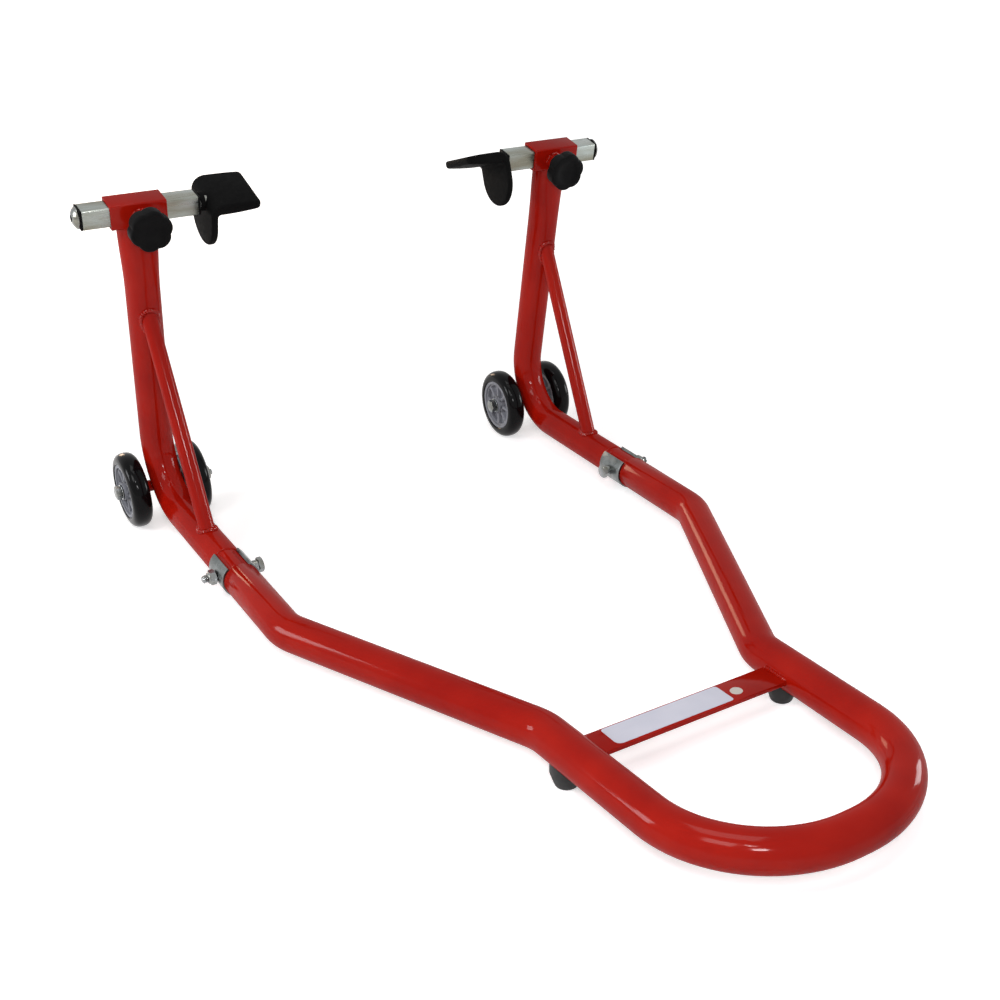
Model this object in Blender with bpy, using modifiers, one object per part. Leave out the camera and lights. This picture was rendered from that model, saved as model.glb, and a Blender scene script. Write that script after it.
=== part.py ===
"""Rear paddock stand for a motorcycle: a steel tube frame that rolls on four small wheels.

Metres, +Z up. The handle points to -Y, the two uprights stand towards +Y, and the wheels
turn about X. The origin is on the floor, under the middle of the stand.
"""

import math

import bmesh
import bpy
from mathutils import Matrix, Vector

# ---------------------------------------------------------------------------------------
# Driving dimensions
# ---------------------------------------------------------------------------------------
GAP = 0.0003                      # clearance between neighbouring pieces
TUBE_SIDES = 20                   # facets round a frame tube
BORE_SIDES = 12                   # facets round a tube's bore
BEND_STEP = math.radians(15)      # turn of a tube bend between two rings

# Frame tubes and their line. Y values run from the wheel axle, negative towards the handle.
TUBE_R = 0.0164                   # rear arms
FRONT_R = 0.0171                  # front tube
TUBE_WALL = 0.002
ARM_X = 0.2257                    # middle plane of each rear arm
FRAME_Z = 0.0315                  # tube axis along the floor
REACH = 0.8472                    # axle to the far side of the handle
LEAN = math.radians(12.5)         # uprights lean towards the handle
UPRIGHT_RISE = 0.3192             # bend corner to the middle of the sleeve
BEND_R = 0.058                    # bend between floor tube and upright
COUPLING_Y = -0.211               # middle of the bolted coupling
FLARE_Y = -0.340                  # corner where the floor tubes start to converge
FLARE_BEND_R = 0.052
LEG_X = 0.1113                    # corner where the converging tubes turn into the legs
LEG_Y = -0.5903
LEG_BEND_R = 0.049
GRIP_X = 0.1043                   # half width of the handle, tube axis
GRIP_Z = 0.0469                   # height of the handle, tube axis
GRIP_STRAIGHT = 0.0043            # half of the straight stretch across the handle's end

# Coupling: fluted neck of the rear tube, plug, zinc saddle and cross bolt
SADDLE_LENGTH = 0.0364
SADDLE_OUTER_R = 0.0186
SADDLE_WALL = 0.0030
SADDLE_OPENING = math.radians(78)
NECK_CLEARANCE = 0.0004
NECK_BORE_R = 0.0112
PLUG_LENGTH = 0.030
RIM_CHAMFER = 0.0012
FLUTE_R = 0.0024
FLUTE_DEPTH = 0.0016
FLUTE_ANGLE = math.radians(24)    # from the top of the neck to each flute

# Metric fasteners
M5_R = 0.0025
M8_R = 0.004
M8_FLATS = 0.013
M8_HEAD = 0.0053
AXLE_NUT = 0.0065
COUPLING_NUT = 0.008              # self-locking nut
M10_R = 0.005
M10_FLATS = 0.017
M10_NUT = 0.008
WASHER_R = 0.008
WASHER_T = 0.0016
AXLE_STICKOUT = 0.0027            # thread past the axle's nut
COUPLING_STICKOUT = 0.0048        # thread past the coupling's nut
COLLAR_R = 0.0055                 # round collar under the coupling bolt's head
COLLAR_LENGTH = 0.0044
BOLT_SIDES = 12

# Wheels
WHEEL_R = 0.040
TYRE_WIDTH = 0.0205
TYRE_SHOULDER_R = 0.0075
RIM_R = 0.0285
RIM_WIDTH = 0.0190
RIM_WALL = 0.0035
WEB_WIDTH = 0.0060
RIB_WIDTH = 0.0146
RIB_T = 0.0030
BOSS_R = 0.0090
HUB_WIDTH = 0.0210
HUB_RIBS = 8
WHEEL_STEPS = 24
BUSH_R = 0.006
BUSH_LENGTH = 0.0386

# Brace between upright and floor tube
BRACE_R = 0.0078
BRACE_WALL = 0.0015
BRACE_TOP_RISE = 0.2310           # bend corner to where the brace meets the upright
BRACE_FOOT_Y = -0.148

# Head: square sleeve, sliding bar, clamp
SLEEVE_SIDE = 0.024
SLEEVE_WALL = 0.0025
SLEEVE_LENGTH = 0.0524
SLEEVE_CORNER_R = 0.0016
BAR_WALL = 0.0020
BAR_LENGTH = 0.1076
BAR_SHIFT = 0.0030                # middle of the bar, inwards of the sleeve's middle
BAR_CORNER_R = 0.0012
BAR_PLUG_FLANGE = 0.0020
BAR_PLUG_DEPTH = 0.009
UPRIGHT_CAP = 0.003
FLAT_START = 0.238                # rise at which the upright starts to flatten
FLAT_WIDTH = 0.038                # oval top of the upright, across
FLAT_DEPTH = 0.0262               # and from front to back
FLAT_STEPS = 5
KNOB_R = 0.020
KNOB_NOTCH = 0.0036
KNOB_LOBES = 6
KNOB_PHASE = math.radians(16)
KNOB_THICKNESS = 0.013
KNOB_EDGE_R = 0.0022
KNOB_HUB_R = 0.0095
KNOB_HUB_HEIGHT = 0.004
KNOB_TRAVEL_ROOM = 0.0038         # weld nut to knob when clamped
STUD_IN_KNOB = 0.010
STUD_DROP = 0.0035                # stud's axis below the middle of the sleeve's face
STUD_INWARD = 0.0018              # and towards the stand's middle

# Swing-arm pads: rubber boots over steel angles, which turn on the bar's through bolt
PAD_LENGTH = 0.049
PAD_WIDTH = 0.056
PAD_T = 0.0066                    # thickness of the tongue
PAD_PLATE_T = 0.0080              # and of the plate
PAD_TOP = 0.0086                  # top face above the bolt's axis
PAD_DROP = 0.0455                 # tongue's tip below the bolt's axis
PAD_TIP_R = 0.028                 # height of the tongue's rounded end
PAD_BEND_R = 0.0128
PAD_INNER_R = 0.003
PAD_CORNER_R = 0.004
PAD_HOLE_OFFSET = 0.003           # pad's middle behind the bolt
PAD_RUBBER = 0.0015
PAD_TILT = {-1: math.radians(19.7), 1: math.radians(-16.2)}
DOME_R = 0.0103
DOME_HEIGHT = 0.0045
DOME_RIM = 0.0010
PAD_SPACER_R = 0.0075             # steel collar between the bar and the pad
PAD_SPACER_LENGTH = 0.0042

# Cross plate and feet under the legs
PLATE_Y = -0.6321
PLATE_WIDTH = 0.030
PLATE_T = 0.004
FOOT_Y = -0.6239
FOOT_BOTTOM_R = 0.0095
FOOT_TOP_R = 0.0138
FOOT_TOP_Z = 0.026
FOOT_EDGE_R = 0.0025
FOOT_SCREW_HEAD_R = 0.0045
FOOT_SCREW_HEAD_T = 0.003
FOOT_SCREW_RECESS = 0.004
FOOT_SCREW_BITE = 0.006           # screw past the tube's wall

# ---------------------------------------------------------------------------------------
# Sizes and places that follow from them
# ---------------------------------------------------------------------------------------
AXLE_Y = (REACH - WHEEL_R) / 2    # puts the origin under the middle of the stand
BORE_R = TUBE_R - TUBE_WALL
FRONT_BORE_R = FRONT_R - TUBE_WALL
NECK_R = SADDLE_OUTER_R - SADDLE_WALL - NECK_CLEARANCE
SHOULDER_Y = AXLE_Y + COUPLING_Y + SADDLE_LENGTH / 2 + GAP
RIM_Y = AXLE_Y + COUPLING_Y - SADDLE_LENGTH / 2 - GAP
PLUG_R = FRONT_BORE_R * math.cos(math.pi / BORE_SIDES) - GAP

HALF_BEND = (math.pi / 2 - LEAN) / 2
BEND_REACH = BEND_R + TUBE_R + GAP + BUSH_R
BEND_CENTRE_Z = FRAME_Z + BEND_R
BEND_CENTRE_Y = AXLE_Y - math.sqrt(BEND_REACH ** 2 - (BEND_CENTRE_Z - WHEEL_R) ** 2)
BEND_CORNER_Y = BEND_CENTRE_Y + BEND_R / math.tan(HALF_BEND)

WHEEL_OFFSET = BUSH_LENGTH / 2 + WASHER_T + HUB_WIDTH / 2 + 2 * GAP
AXLE_END = WHEEL_OFFSET + HUB_WIDTH / 2 + WASHER_T + 2 * GAP
BAR_SIDE = SLEEVE_SIDE - 2 * SLEEVE_WALL - 2 * GAP
BAR_MIDDLE_X = ARM_X - BAR_SHIFT
BAR_INNER_FACE_X = BAR_MIDDLE_X - BAR_LENGTH / 2 - BAR_PLUG_FLANGE - GAP
PAD_FACE_X = BAR_INNER_FACE_X - PAD_SPACER_LENGTH - 2 * GAP
DOME_SEAT_X = BAR_MIDDLE_X + BAR_LENGTH / 2 + BAR_PLUG_FLANGE + 2 * GAP
STUD_TIP = BAR_SIDE / 2 + GAP
NUT_SEAT = SLEEVE_SIDE / 2 + GAP
KNOB_BACK = NUT_SEAT + M10_NUT + KNOB_TRAVEL_ROOM
UP = Vector((0, -math.sin(LEAN), math.cos(LEAN)))


def arm_point(side, rise):
    """A point on the upright's axis, a given rise above its bend corner."""
    return Vector((side * ARM_X, BEND_CORNER_Y, FRAME_Z)) + UP * rise


def leg_point(side, y):
    """The point of a handle leg's axis at distance y from the axle."""
    along = (y - LEG_Y) / (-(REACH - FRONT_R) - LEG_Y)
    x = LEG_X + (GRIP_X - LEG_X) * along
    return Vector((side * x, AXLE_Y + y, FRAME_Z + (GRIP_Z - FRAME_Z) * along))


def clear(radius, sides=BOLT_SIDES):
    """Radius of a faceted hole that clears a round pin of this radius all round."""
    return (radius + GAP) / math.cos(math.pi / sides)


# ---------------------------------------------------------------------------------------
# Scene, materials and modelling tools
# ---------------------------------------------------------------------------------------
for leftover in list(bpy.data.objects):
    bpy.data.objects.remove(leftover, do_unlink=True)

PARTS = bpy.data.collections.new("paddock_stand")
CUTTERS = bpy.data.collections.new("cutters")
bpy.context.scene.collection.children.link(PARTS)
bpy.context.scene.collection.children.link(CUTTERS)


def material(name, colour, roughness, metallic=0.0):
    """A Principled material of one colour."""
    made = bpy.data.materials.new(name)
    made.use_nodes = True
    shader = made.node_tree.nodes["Principled BSDF"]
    shader.inputs["Base Color"].default_value = (*colour, 1)
    shader.inputs["Roughness"].default_value = roughness
    shader.inputs["Metallic"].default_value = metallic
    made.diffuse_color = (*colour, 1)
    return made


RED = material("red_powder_coat", (0.50, 0.016, 0.012), 0.30)
ZINC = material("zinc_plate", (0.58, 0.60, 0.58), 0.38, 1.0)
RUBBER = material("black_rubber", (0.022, 0.022, 0.024), 0.62)
STEEL = material("black_steel", (0.05, 0.05, 0.05), 0.50, 0.6)
TYRE = material("wheel_tyre", (0.014, 0.014, 0.016), 0.30)
HUB = material("grey_plastic", (0.30, 0.30, 0.34), 0.45)
PLASTIC = material("black_plastic", (0.02, 0.02, 0.021), 0.42)


def place(obj, surface, matrix=None, smooth=30):
    """Put a finished piece in the parts collection, with its material and its place."""
    PARTS.objects.link(obj)
    obj.data.materials.clear()
    obj.data.materials.append(surface)
    if matrix is not None:
        obj.matrix_world = matrix
    obj.data.shade_smooth()
    obj.data.set_sharp_from_angle(angle=math.radians(smooth))
    return obj


def as_cutter(obj, matrix=None):
    """Hide a piece that only shapes others, and put it in its own collection."""
    CUTTERS.objects.link(obj)
    if matrix is not None:
        obj.matrix_world = matrix
    obj.hide_render = True
    obj.display_type = 'WIRE'
    return obj


def combine(obj, tool, operation='DIFFERENCE'):
    """Cut, join or intersect a piece with a tool."""
    modifier = obj.modifiers.new(tool.name, 'BOOLEAN')
    modifier.operation = operation
    modifier.object = tool
    modifier.solver = 'EXACT'
    return obj


def rounded_path(corners, radii):
    """A line through corners, with every inner corner turned on its own radius."""
    points = [corners[0]]
    for before, corner, after, radius in zip(corners, corners[1:], corners[2:], radii):
        back = (before - corner).normalized()
        ahead = (after - corner).normalized()
        half = back.angle(ahead) / 2
        centre = corner + (back + ahead).normalized() * radius / math.sin(half)
        start = corner + back * radius / math.tan(half) - centre
        end = corner + ahead * radius / math.tan(half) - centre
        turn = start.angle(end)
        axis = start.cross(end).normalized()
        steps = max(2, math.ceil(turn / BEND_STEP))
        for step in range(steps + 1):
            points.append(centre + Matrix.Rotation(turn * step / steps, 4, axis) @ start)
    points.append(corners[-1])
    return points


def swept(name, stations, sides=TUBE_SIDES):
    """A round bar through stations of (point, radius), as a closed mesh."""
    widest = max(radius for _, radius in stations)
    curve = bpy.data.curves.new(name, 'CURVE')
    curve.dimensions = '3D'
    curve.bevel_depth = widest
    curve.bevel_resolution = sides // 2 - 2
    curve.use_fill_caps = True
    spline = curve.splines.new('POLY')
    spline.points.add(len(stations) - 1)
    for knot, (point, radius) in zip(spline.points, stations):
        knot.co = (*point, 1)
        knot.radius = radius / widest
    guide = bpy.data.objects.new(name + "_curve", curve)
    bpy.context.scene.collection.objects.link(guide)
    graph = bpy.context.evaluated_depsgraph_get()
    mesh = bpy.data.meshes.new_from_object(guide.evaluated_get(graph))
    bpy.data.objects.remove(guide)
    bpy.data.curves.remove(curve)
    return object_from(name, welded(mesh))


def welded(mesh):
    """The mesh with its loose caps joined and its faces turned outwards."""
    work = bmesh.new()
    work.from_mesh(mesh)
    bmesh.ops.remove_doubles(work, verts=work.verts, dist=0.000005)
    bmesh.ops.recalc_face_normals(work, faces=work.faces)
    work.to_mesh(mesh)
    work.free()
    return mesh


def object_from(name, mesh):
    """A new object for a mesh, both with the same name."""
    mesh.name = name
    return bpy.data.objects.new(name, mesh)


def prism(name, radius, length, sides=BOLT_SIDES):
    """A cylinder, or a hexagon of six sides, centred on its own Z axis."""
    work = bmesh.new()
    bmesh.ops.create_cone(
        work, cap_ends=True, segments=sides, radius1=radius, radius2=radius, depth=length)
    mesh = bpy.data.meshes.new(name)
    work.to_mesh(mesh)
    work.free()
    return object_from(name, mesh)


def block(name, size, corner=0.0):
    """A box centred on the origin, with its four edges along X rounded."""
    work = bmesh.new()
    bmesh.ops.create_cube(work, size=1.0, matrix=Matrix.Diagonal((*size, 1)))
    if corner:
        long_edges = [edge for edge in work.edges
                      if abs(edge.verts[0].co.x - edge.verts[1].co.x) > size[0] / 2]
        bmesh.ops.bevel(
            work, geom=long_edges, offset=corner, segments=3, profile=0.5,
            affect='EDGES', material=-1)
    mesh = bpy.data.meshes.new(name)
    work.to_mesh(mesh)
    work.free()
    return object_from(name, mesh)


def outlined(name, points, thickness):
    """A flat outline in XY, thickened evenly to both sides along Z, as a closed mesh."""
    curve = bpy.data.curves.new(name, 'CURVE')
    curve.dimensions = '2D'
    curve.fill_mode = 'BOTH'
    curve.extrude = thickness / 2
    spline = curve.splines.new('POLY')
    spline.points.add(len(points) - 1)
    for knot, (x, y) in zip(spline.points, points):
        knot.co = (x, y, 0, 1)
    spline.use_cyclic_u = True
    guide = bpy.data.objects.new(name + "_curve", curve)
    bpy.context.scene.collection.objects.link(guide)
    graph = bpy.context.evaluated_depsgraph_get()
    mesh = bpy.data.meshes.new_from_object(guide.evaluated_get(graph))
    bpy.data.objects.remove(guide)
    bpy.data.curves.remove(curve)
    return object_from(name, welded(mesh))


def turned(name, profile, steps, closed=True):
    """A profile of (radius, height) points, turned about Z by a Screw modifier."""
    mesh = bpy.data.meshes.new(name)
    rows = [(radius, 0, height) for radius, height in profile]
    edges = [(index, index + 1) for index in range(len(rows) - 1)]
    if closed:
        edges.append((len(rows) - 1, 0))
    mesh.from_pydata(rows, edges, [])
    obj = object_from(name, mesh)
    screw = obj.modifiers.new("turn", 'SCREW')
    screw.steps = steps
    screw.render_steps = steps
    screw.use_merge_vertices = True
    screw.merge_threshold = 0.00001
    screw.use_smooth_shade = True
    return obj


def ring(name, outer, inner, width, steps=BOLT_SIDES):
    """A plain bush or washer about Z."""
    half = width / 2
    profile = [(outer, half), (outer, -half), (inner, -half), (inner, half)]
    return turned(name, profile, steps)


def arc(centre, radius, start, end, steps):
    """Points of an arc in a plane, angles in degrees, both ends included."""
    points = []
    for step in range(steps + 1):
        angle = math.radians(start + (end - start) * step / steps)
        points.append((centre[0] + radius * math.cos(angle),
                       centre[1] + radius * math.sin(angle)))
    return points


def shifted(x, y, z):
    """A plain translation."""
    return Matrix.Translation((x, y, z))


ALONG_X = Matrix.Rotation(math.radians(90), 4, 'Y')
ALONG_Y = Matrix.Rotation(math.radians(-90), 4, 'X')


def side_name(side):
    return "left" if side < 0 else "right"


# ---------------------------------------------------------------------------------------
# Front frame: one bent tube, from coupling to coupling round the handle
# ---------------------------------------------------------------------------------------
def frame_corners():
    """Corners of the front tube's axis, from the left coupling round to the right one."""
    rim = Vector((-ARM_X, RIM_Y, FRAME_Z))
    flare = Vector((-ARM_X, AXLE_Y + FLARE_Y, FRAME_Z))
    leg = leg_point(-1, LEG_Y)
    grip = leg_point(-1, -(REACH - FRONT_R))
    left = [rim, flare, leg, grip]
    right = [Vector((-point.x, point.y, point.z)) for point in reversed(left)]
    return left + right


def handle_frame():
    corners = frame_corners()
    leg, grip = corners[2:4]
    grip_bend_r = (GRIP_X - GRIP_STRAIGHT) * math.tan((leg - grip).angle(Vector((1, 0, 0))) / 2)
    radii = [FLARE_BEND_R, LEG_BEND_R, grip_bend_r, grip_bend_r, LEG_BEND_R, FLARE_BEND_R]
    line = rounded_path(corners, radii)
    inwards = Vector((0, -RIM_CHAMFER, 0))
    stations = [(line[0], FRONT_R - RIM_CHAMFER), (line[0] + inwards, FRONT_R)]
    stations += [(point, FRONT_R) for point in line[1:-1]]
    stations += [(line[-1] + inwards, FRONT_R), (line[-1], FRONT_R - RIM_CHAMFER)]
    tube = swept("handle_frame", stations)
    past_rim = Vector((0, 0.002, 0))
    bore_line = [line[0] + past_rim] + line[1:-1] + [line[-1] + past_rim]
    bore = swept("handle_bore", [(point, FRONT_BORE_R) for point in bore_line], BORE_SIDES)
    combine(tube, as_cutter(bore))
    for side in (-1, 1):
        hole = prism("foot_screw_hole_" + side_name(side), clear(M5_R), FRONT_R)
        foot = leg_point(side, FOOT_Y)
        as_cutter(hole, shifted(foot.x, foot.y, foot.z - FRONT_R))
        combine(tube, hole)
    return place(tube, RED)


def cross_plate():
    """Flat bar between the legs, its ends mitred to the legs' slight taper."""
    front = PLATE_Y - PLATE_WIDTH / 2
    back = PLATE_Y + PLATE_WIDTH / 2
    reach = FRONT_R + GAP
    middle = leg_point(1, PLATE_Y)
    corners = []
    for side, y in ((-1, front), (1, front), (1, back), (-1, back)):
        corners.append((side * (leg_point(1, y).x - reach), y - PLATE_Y))
    plate = outlined("cross_plate", corners, PLATE_T)
    slope = math.atan2(leg_point(1, front).z - leg_point(1, back).z, PLATE_WIDTH)
    tilt = Matrix.Rotation(-slope, 4, 'X')
    return place(plate, RED, shifted(0, middle.y, middle.z) @ tilt)


def rubber_foot(side):
    """Tapered rubber foot, hollowed to the tube above it and counterbored for its screw."""
    name = side_name(side)
    leg = leg_point(side, FOOT_Y)
    edge = FOOT_EDGE_R
    profile = [(0, FOOT_TOP_Z), (FOOT_TOP_R, FOOT_TOP_Z)]
    profile += arc((FOOT_BOTTOM_R - edge, edge), edge, 0, -90, 3) + [(0, 0)]
    foot = turned("rubber_foot_" + name, profile, BOLT_SIDES, closed=False)
    ahead = leg_point(side, FOOT_Y - FOOT_TOP_R * 2)
    behind = leg_point(side, FOOT_Y + FOOT_TOP_R * 2)
    seat_r = clear(FRONT_R, TUBE_SIDES)
    seat = swept("foot_seat_" + name, [(behind, seat_r), (ahead, seat_r)])
    recess = prism("foot_recess_" + name, clear(FOOT_SCREW_HEAD_R), FOOT_SCREW_RECESS * 2)
    hole = prism("foot_hole_" + name, clear(M5_R), FOOT_TOP_Z * 2)
    combine(foot, as_cutter(seat))
    combine(foot, as_cutter(recess, shifted(leg.x, leg.y, 0)))
    combine(foot, as_cutter(hole, shifted(leg.x, leg.y, FOOT_TOP_Z)))
    return place(foot, RUBBER, shifted(leg.x, leg.y, 0))


def foot_screw(side):
    """Pan-head screw up through the foot into the leg's wall."""
    leg = leg_point(side, FOOT_Y)
    seat = FOOT_SCREW_RECESS - GAP
    tip = leg.z - FRONT_BORE_R + FOOT_SCREW_BITE
    low = seat - FOOT_SCREW_HEAD_T
    profile = [(0, tip), (M5_R, tip), (M5_R, seat), (FOOT_SCREW_HEAD_R, seat),
               (FOOT_SCREW_HEAD_R, low + 0.0008), (FOOT_SCREW_HEAD_R * 0.75, low), (0, low)]
    screw = turned("foot_screw_" + side_name(side), profile, 12, closed=False)
    return place(screw, ZINC, shifted(leg.x, leg.y, 0))


# ---------------------------------------------------------------------------------------
# Rear arms: bent tube with a fluted neck, brace and axle bush
# ---------------------------------------------------------------------------------------
def upright_top():
    return UPRIGHT_RISE - SLEEVE_SIDE / 2 - GAP


def flatten_top(tube, side):
    """Press the upright's end oval, wider than the round tube and as deep as the sleeve."""
    foot = arm_point(side, 0)
    ahead = Vector((0, math.cos(LEAN), math.sin(LEAN)))
    for vertex in tube.data.vertices:
        offset = vertex.co - foot
        rise = offset.dot(UP)
        pressed = (rise - FLAT_START) / (upright_top() - FLAT_START)
        if pressed > 0:
            ease = math.sin(min(pressed, 1) * math.pi / 2) ** 2
            wider = 1 + ease * (FLAT_WIDTH / (2 * TUBE_R) - 1)
            thinner = 1 + ease * (FLAT_DEPTH / (2 * TUBE_R) - 1)
            across = offset.x * wider
            deep = offset.dot(ahead) * thinner
            vertex.co = foot + UP * rise + ahead * deep + Vector((across, 0, 0))


def upright_line(side, top, plug_tip):
    """The arm's axis from the upright's top to the plug, with rings where the top flattens."""
    corners = [arm_point(side, top), arm_point(side, 0), plug_tip]
    line = rounded_path(corners, [BEND_R])
    rings = [arm_point(side, top + (FLAT_START - top) * step / FLAT_STEPS)
             for step in range(FLAT_STEPS + 1)]
    return rings + line[1:-1]


def rear_arm(side):
    """Floor tube and upright in one bent tube, necked down in front to plug into the frame."""
    name = side_name(side)
    x = side * ARM_X

    def ahead(y):
        return Vector((x, y, FRAME_Z))

    step = 0.0002
    plug_tip = RIM_Y - PLUG_LENGTH
    tube_line = upright_line(side, upright_top(), ahead(plug_tip))
    stations = [(point, TUBE_R) for point in tube_line]
    stations += [
        (ahead(SHOULDER_Y + RIM_CHAMFER), TUBE_R),
        (ahead(SHOULDER_Y), TUBE_R - RIM_CHAMFER / 2),
        (ahead(SHOULDER_Y - step), NECK_R),
        (ahead(RIM_Y + GAP + step), NECK_R),
        (ahead(RIM_Y + GAP), PLUG_R),
        (ahead(plug_tip + RIM_CHAMFER), PLUG_R),
        (ahead(plug_tip), PLUG_R - RIM_CHAMFER),
    ]
    arm = swept("upright_" + name, stations)
    flatten_top(arm, side)

    bore_line = upright_line(side, upright_top() - UPRIGHT_CAP, ahead(plug_tip))
    bore_stations = [(point, BORE_R) for point in bore_line]
    bore_stations += [
        (ahead(SHOULDER_Y + 2 * TUBE_WALL), BORE_R),
        (ahead(SHOULDER_Y + TUBE_WALL / 2), NECK_BORE_R),
        (ahead(plug_tip - TUBE_WALL), NECK_BORE_R),
    ]
    bore = swept("upright_bore_" + name, bore_stations, BORE_SIDES)
    flatten_top(bore, side)
    combine(arm, as_cutter(bore))

    flute_axis_r = NECK_R + FLUTE_R - FLUTE_DEPTH
    for hand in (-1, 1):
        turn = hand * FLUTE_ANGLE
        across = x + math.sin(turn) * flute_axis_r
        height = FRAME_Z + math.cos(turn) * flute_axis_r
        inset = SADDLE_LENGTH / 8
        flute = swept(
            "flute_%s_%s" % (name, side_name(hand)),
            [(Vector((across, SHOULDER_Y - inset, height)), FLUTE_R * 0.4),
             (Vector((across, SHOULDER_Y - 2 * inset, height)), FLUTE_R),
             (Vector((across, RIM_Y + 2 * inset, height)), FLUTE_R),
             (Vector((across, RIM_Y + inset, height)), FLUTE_R * 0.4)],
            8)
        combine(arm, as_cutter(flute))

    hole = prism("neck_bolt_hole_" + name, clear(M8_R), TUBE_R * 3)
    as_cutter(hole, shifted(x, AXLE_Y + COUPLING_Y, FRAME_Z) @ ALONG_X)
    combine(arm, hole)
    return place(arm, RED)


def brace(side):
    """Round strut from the upright's front to the floor tube, both ends coped to them."""
    name = side_name(side)
    high = arm_point(side, BRACE_TOP_RISE)
    low = Vector((side * ARM_X, AXLE_Y + BRACE_FOOT_Y, FRAME_Z))
    strut = swept("brace_" + name, [(high, BRACE_R), (low, BRACE_R)], 12)
    past = (high - low).normalized() * BRACE_R
    bore_r = BRACE_R - BRACE_WALL
    bore = swept("brace_bore_" + name, [(high + past, bore_r), (low - past, bore_r)], 12)
    combine(strut, as_cutter(bore))
    cope_r = clear(TUBE_R, TUBE_SIDES)
    span = 4 * TUBE_R
    upright = swept("brace_cope_top_" + name, [(high + UP * span, cope_r), (high - UP * span, cope_r)])
    along = Vector((0, span, 0))
    floor_tube = swept("brace_cope_foot_" + name, [(low + along, cope_r), (low - along, cope_r)])
    combine(strut, as_cutter(upright))
    combine(strut, as_cutter(floor_tube))
    return place(strut, RED)


def axle_bush(side):
    """Short tube across the outside of the bend, in which the wheel bolt is clamped."""
    bush = ring("axle_bush_" + side_name(side), BUSH_R, clear(M8_R), BUSH_LENGTH)
    return place(bush, RED, shifted(side * ARM_X, AXLE_Y, WHEEL_R) @ ALONG_X)


# ---------------------------------------------------------------------------------------
# Coupling between rear arm and front frame
# ---------------------------------------------------------------------------------------
def saddle(side):
    """Zinc half shell round the neck, open at the top, that fills the coupling's groove."""
    name = side_name(side)
    edge = 90 + math.degrees(SADDLE_OPENING) / 2
    far_edge = 360 + 90 - math.degrees(SADDLE_OPENING) / 2
    inner_r = SADDLE_OUTER_R - SADDLE_WALL
    outline = arc((0, 0), SADDLE_OUTER_R, edge, far_edge, 15)
    outline += arc((0, 0), inner_r, far_edge, edge, 15)
    shell = outlined("saddle_" + name, outline, SADDLE_LENGTH)
    stand_up = Matrix.Rotation(math.radians(90), 4, 'X')
    middle = shifted(side * ARM_X, AXLE_Y + COUPLING_Y, FRAME_Z)
    hole = prism("saddle_bolt_hole_" + name, clear(M8_R), SADDLE_OUTER_R * 3)
    combine(shell, as_cutter(hole, middle @ ALONG_X))
    return place(shell, ZINC, middle @ stand_up)


def hex_bolt(name, seat, tip, matrix, collar=0.0):
    """Hexagon bolt on its own Z axis, from its seat to its tip, with a collar under the head."""
    head_middle = seat - collar - M8_HEAD / 2
    bolt = prism(name, M8_FLATS / math.sqrt(3), M8_HEAD, 6)
    bolt.data.transform(shifted(0, 0, head_middle))
    if collar:
        neck = prism(name + "_collar", COLLAR_R, seat - head_middle)
        neck.data.transform(shifted(0, 0, (seat + head_middle) / 2))
        combine(bolt, as_cutter(neck, matrix), 'UNION')
    shank = prism(name + "_shank", M8_R, tip - head_middle)
    shank.data.transform(shifted(0, 0, (tip + head_middle) / 2))
    combine(bolt, as_cutter(shank, matrix), 'UNION')
    return place(bolt, ZINC, matrix)


def hex_nut(name, flats, thickness, bolt_r, surface, matrix):
    """Hexagon nut centred on its own Z axis."""
    nut = prism(name, flats / math.sqrt(3), thickness, 6)
    bore = prism(name + "_bore", clear(bolt_r), thickness * 2)
    combine(nut, as_cutter(bore, matrix))
    return place(nut, surface, matrix)


def coupling_bolt(side):
    """Cross bolt of the coupling: head on the inner side, nut on the outer side."""
    outwards = ALONG_X if side > 0 else Matrix.Rotation(math.radians(-90), 4, 'Y')
    middle = shifted(side * ARM_X, AXLE_Y + COUPLING_Y, FRAME_Z) @ outwards
    seat = SADDLE_OUTER_R + GAP
    hex_bolt("coupling_bolt_" + side_name(side), -seat,
             seat + GAP + COUPLING_NUT + COUPLING_STICKOUT, middle, COLLAR_LENGTH)
    hex_nut("coupling_nut_" + side_name(side), M8_FLATS, COUPLING_NUT, M8_R, ZINC,
            middle @ shifted(0, 0, seat + COUPLING_NUT / 2))


# ---------------------------------------------------------------------------------------
# Wheels and their through bolts
# ---------------------------------------------------------------------------------------
def tyre(name, matrix):
    """Rubber tyre with rounded shoulders, moulded round the hub's rim."""
    half = TYRE_WIDTH / 2
    shoulder = TYRE_SHOULDER_R
    inner = RIM_R + GAP
    profile = arc((WHEEL_R - shoulder, half - shoulder), shoulder, 90, 0, 3)
    profile += arc((WHEEL_R - shoulder, shoulder - half), shoulder, 0, -90, 3)
    profile += [(inner, -half), (inner, half)]
    return place(turned("tyre_" + name, profile, WHEEL_STEPS), TYRE, matrix)


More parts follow.
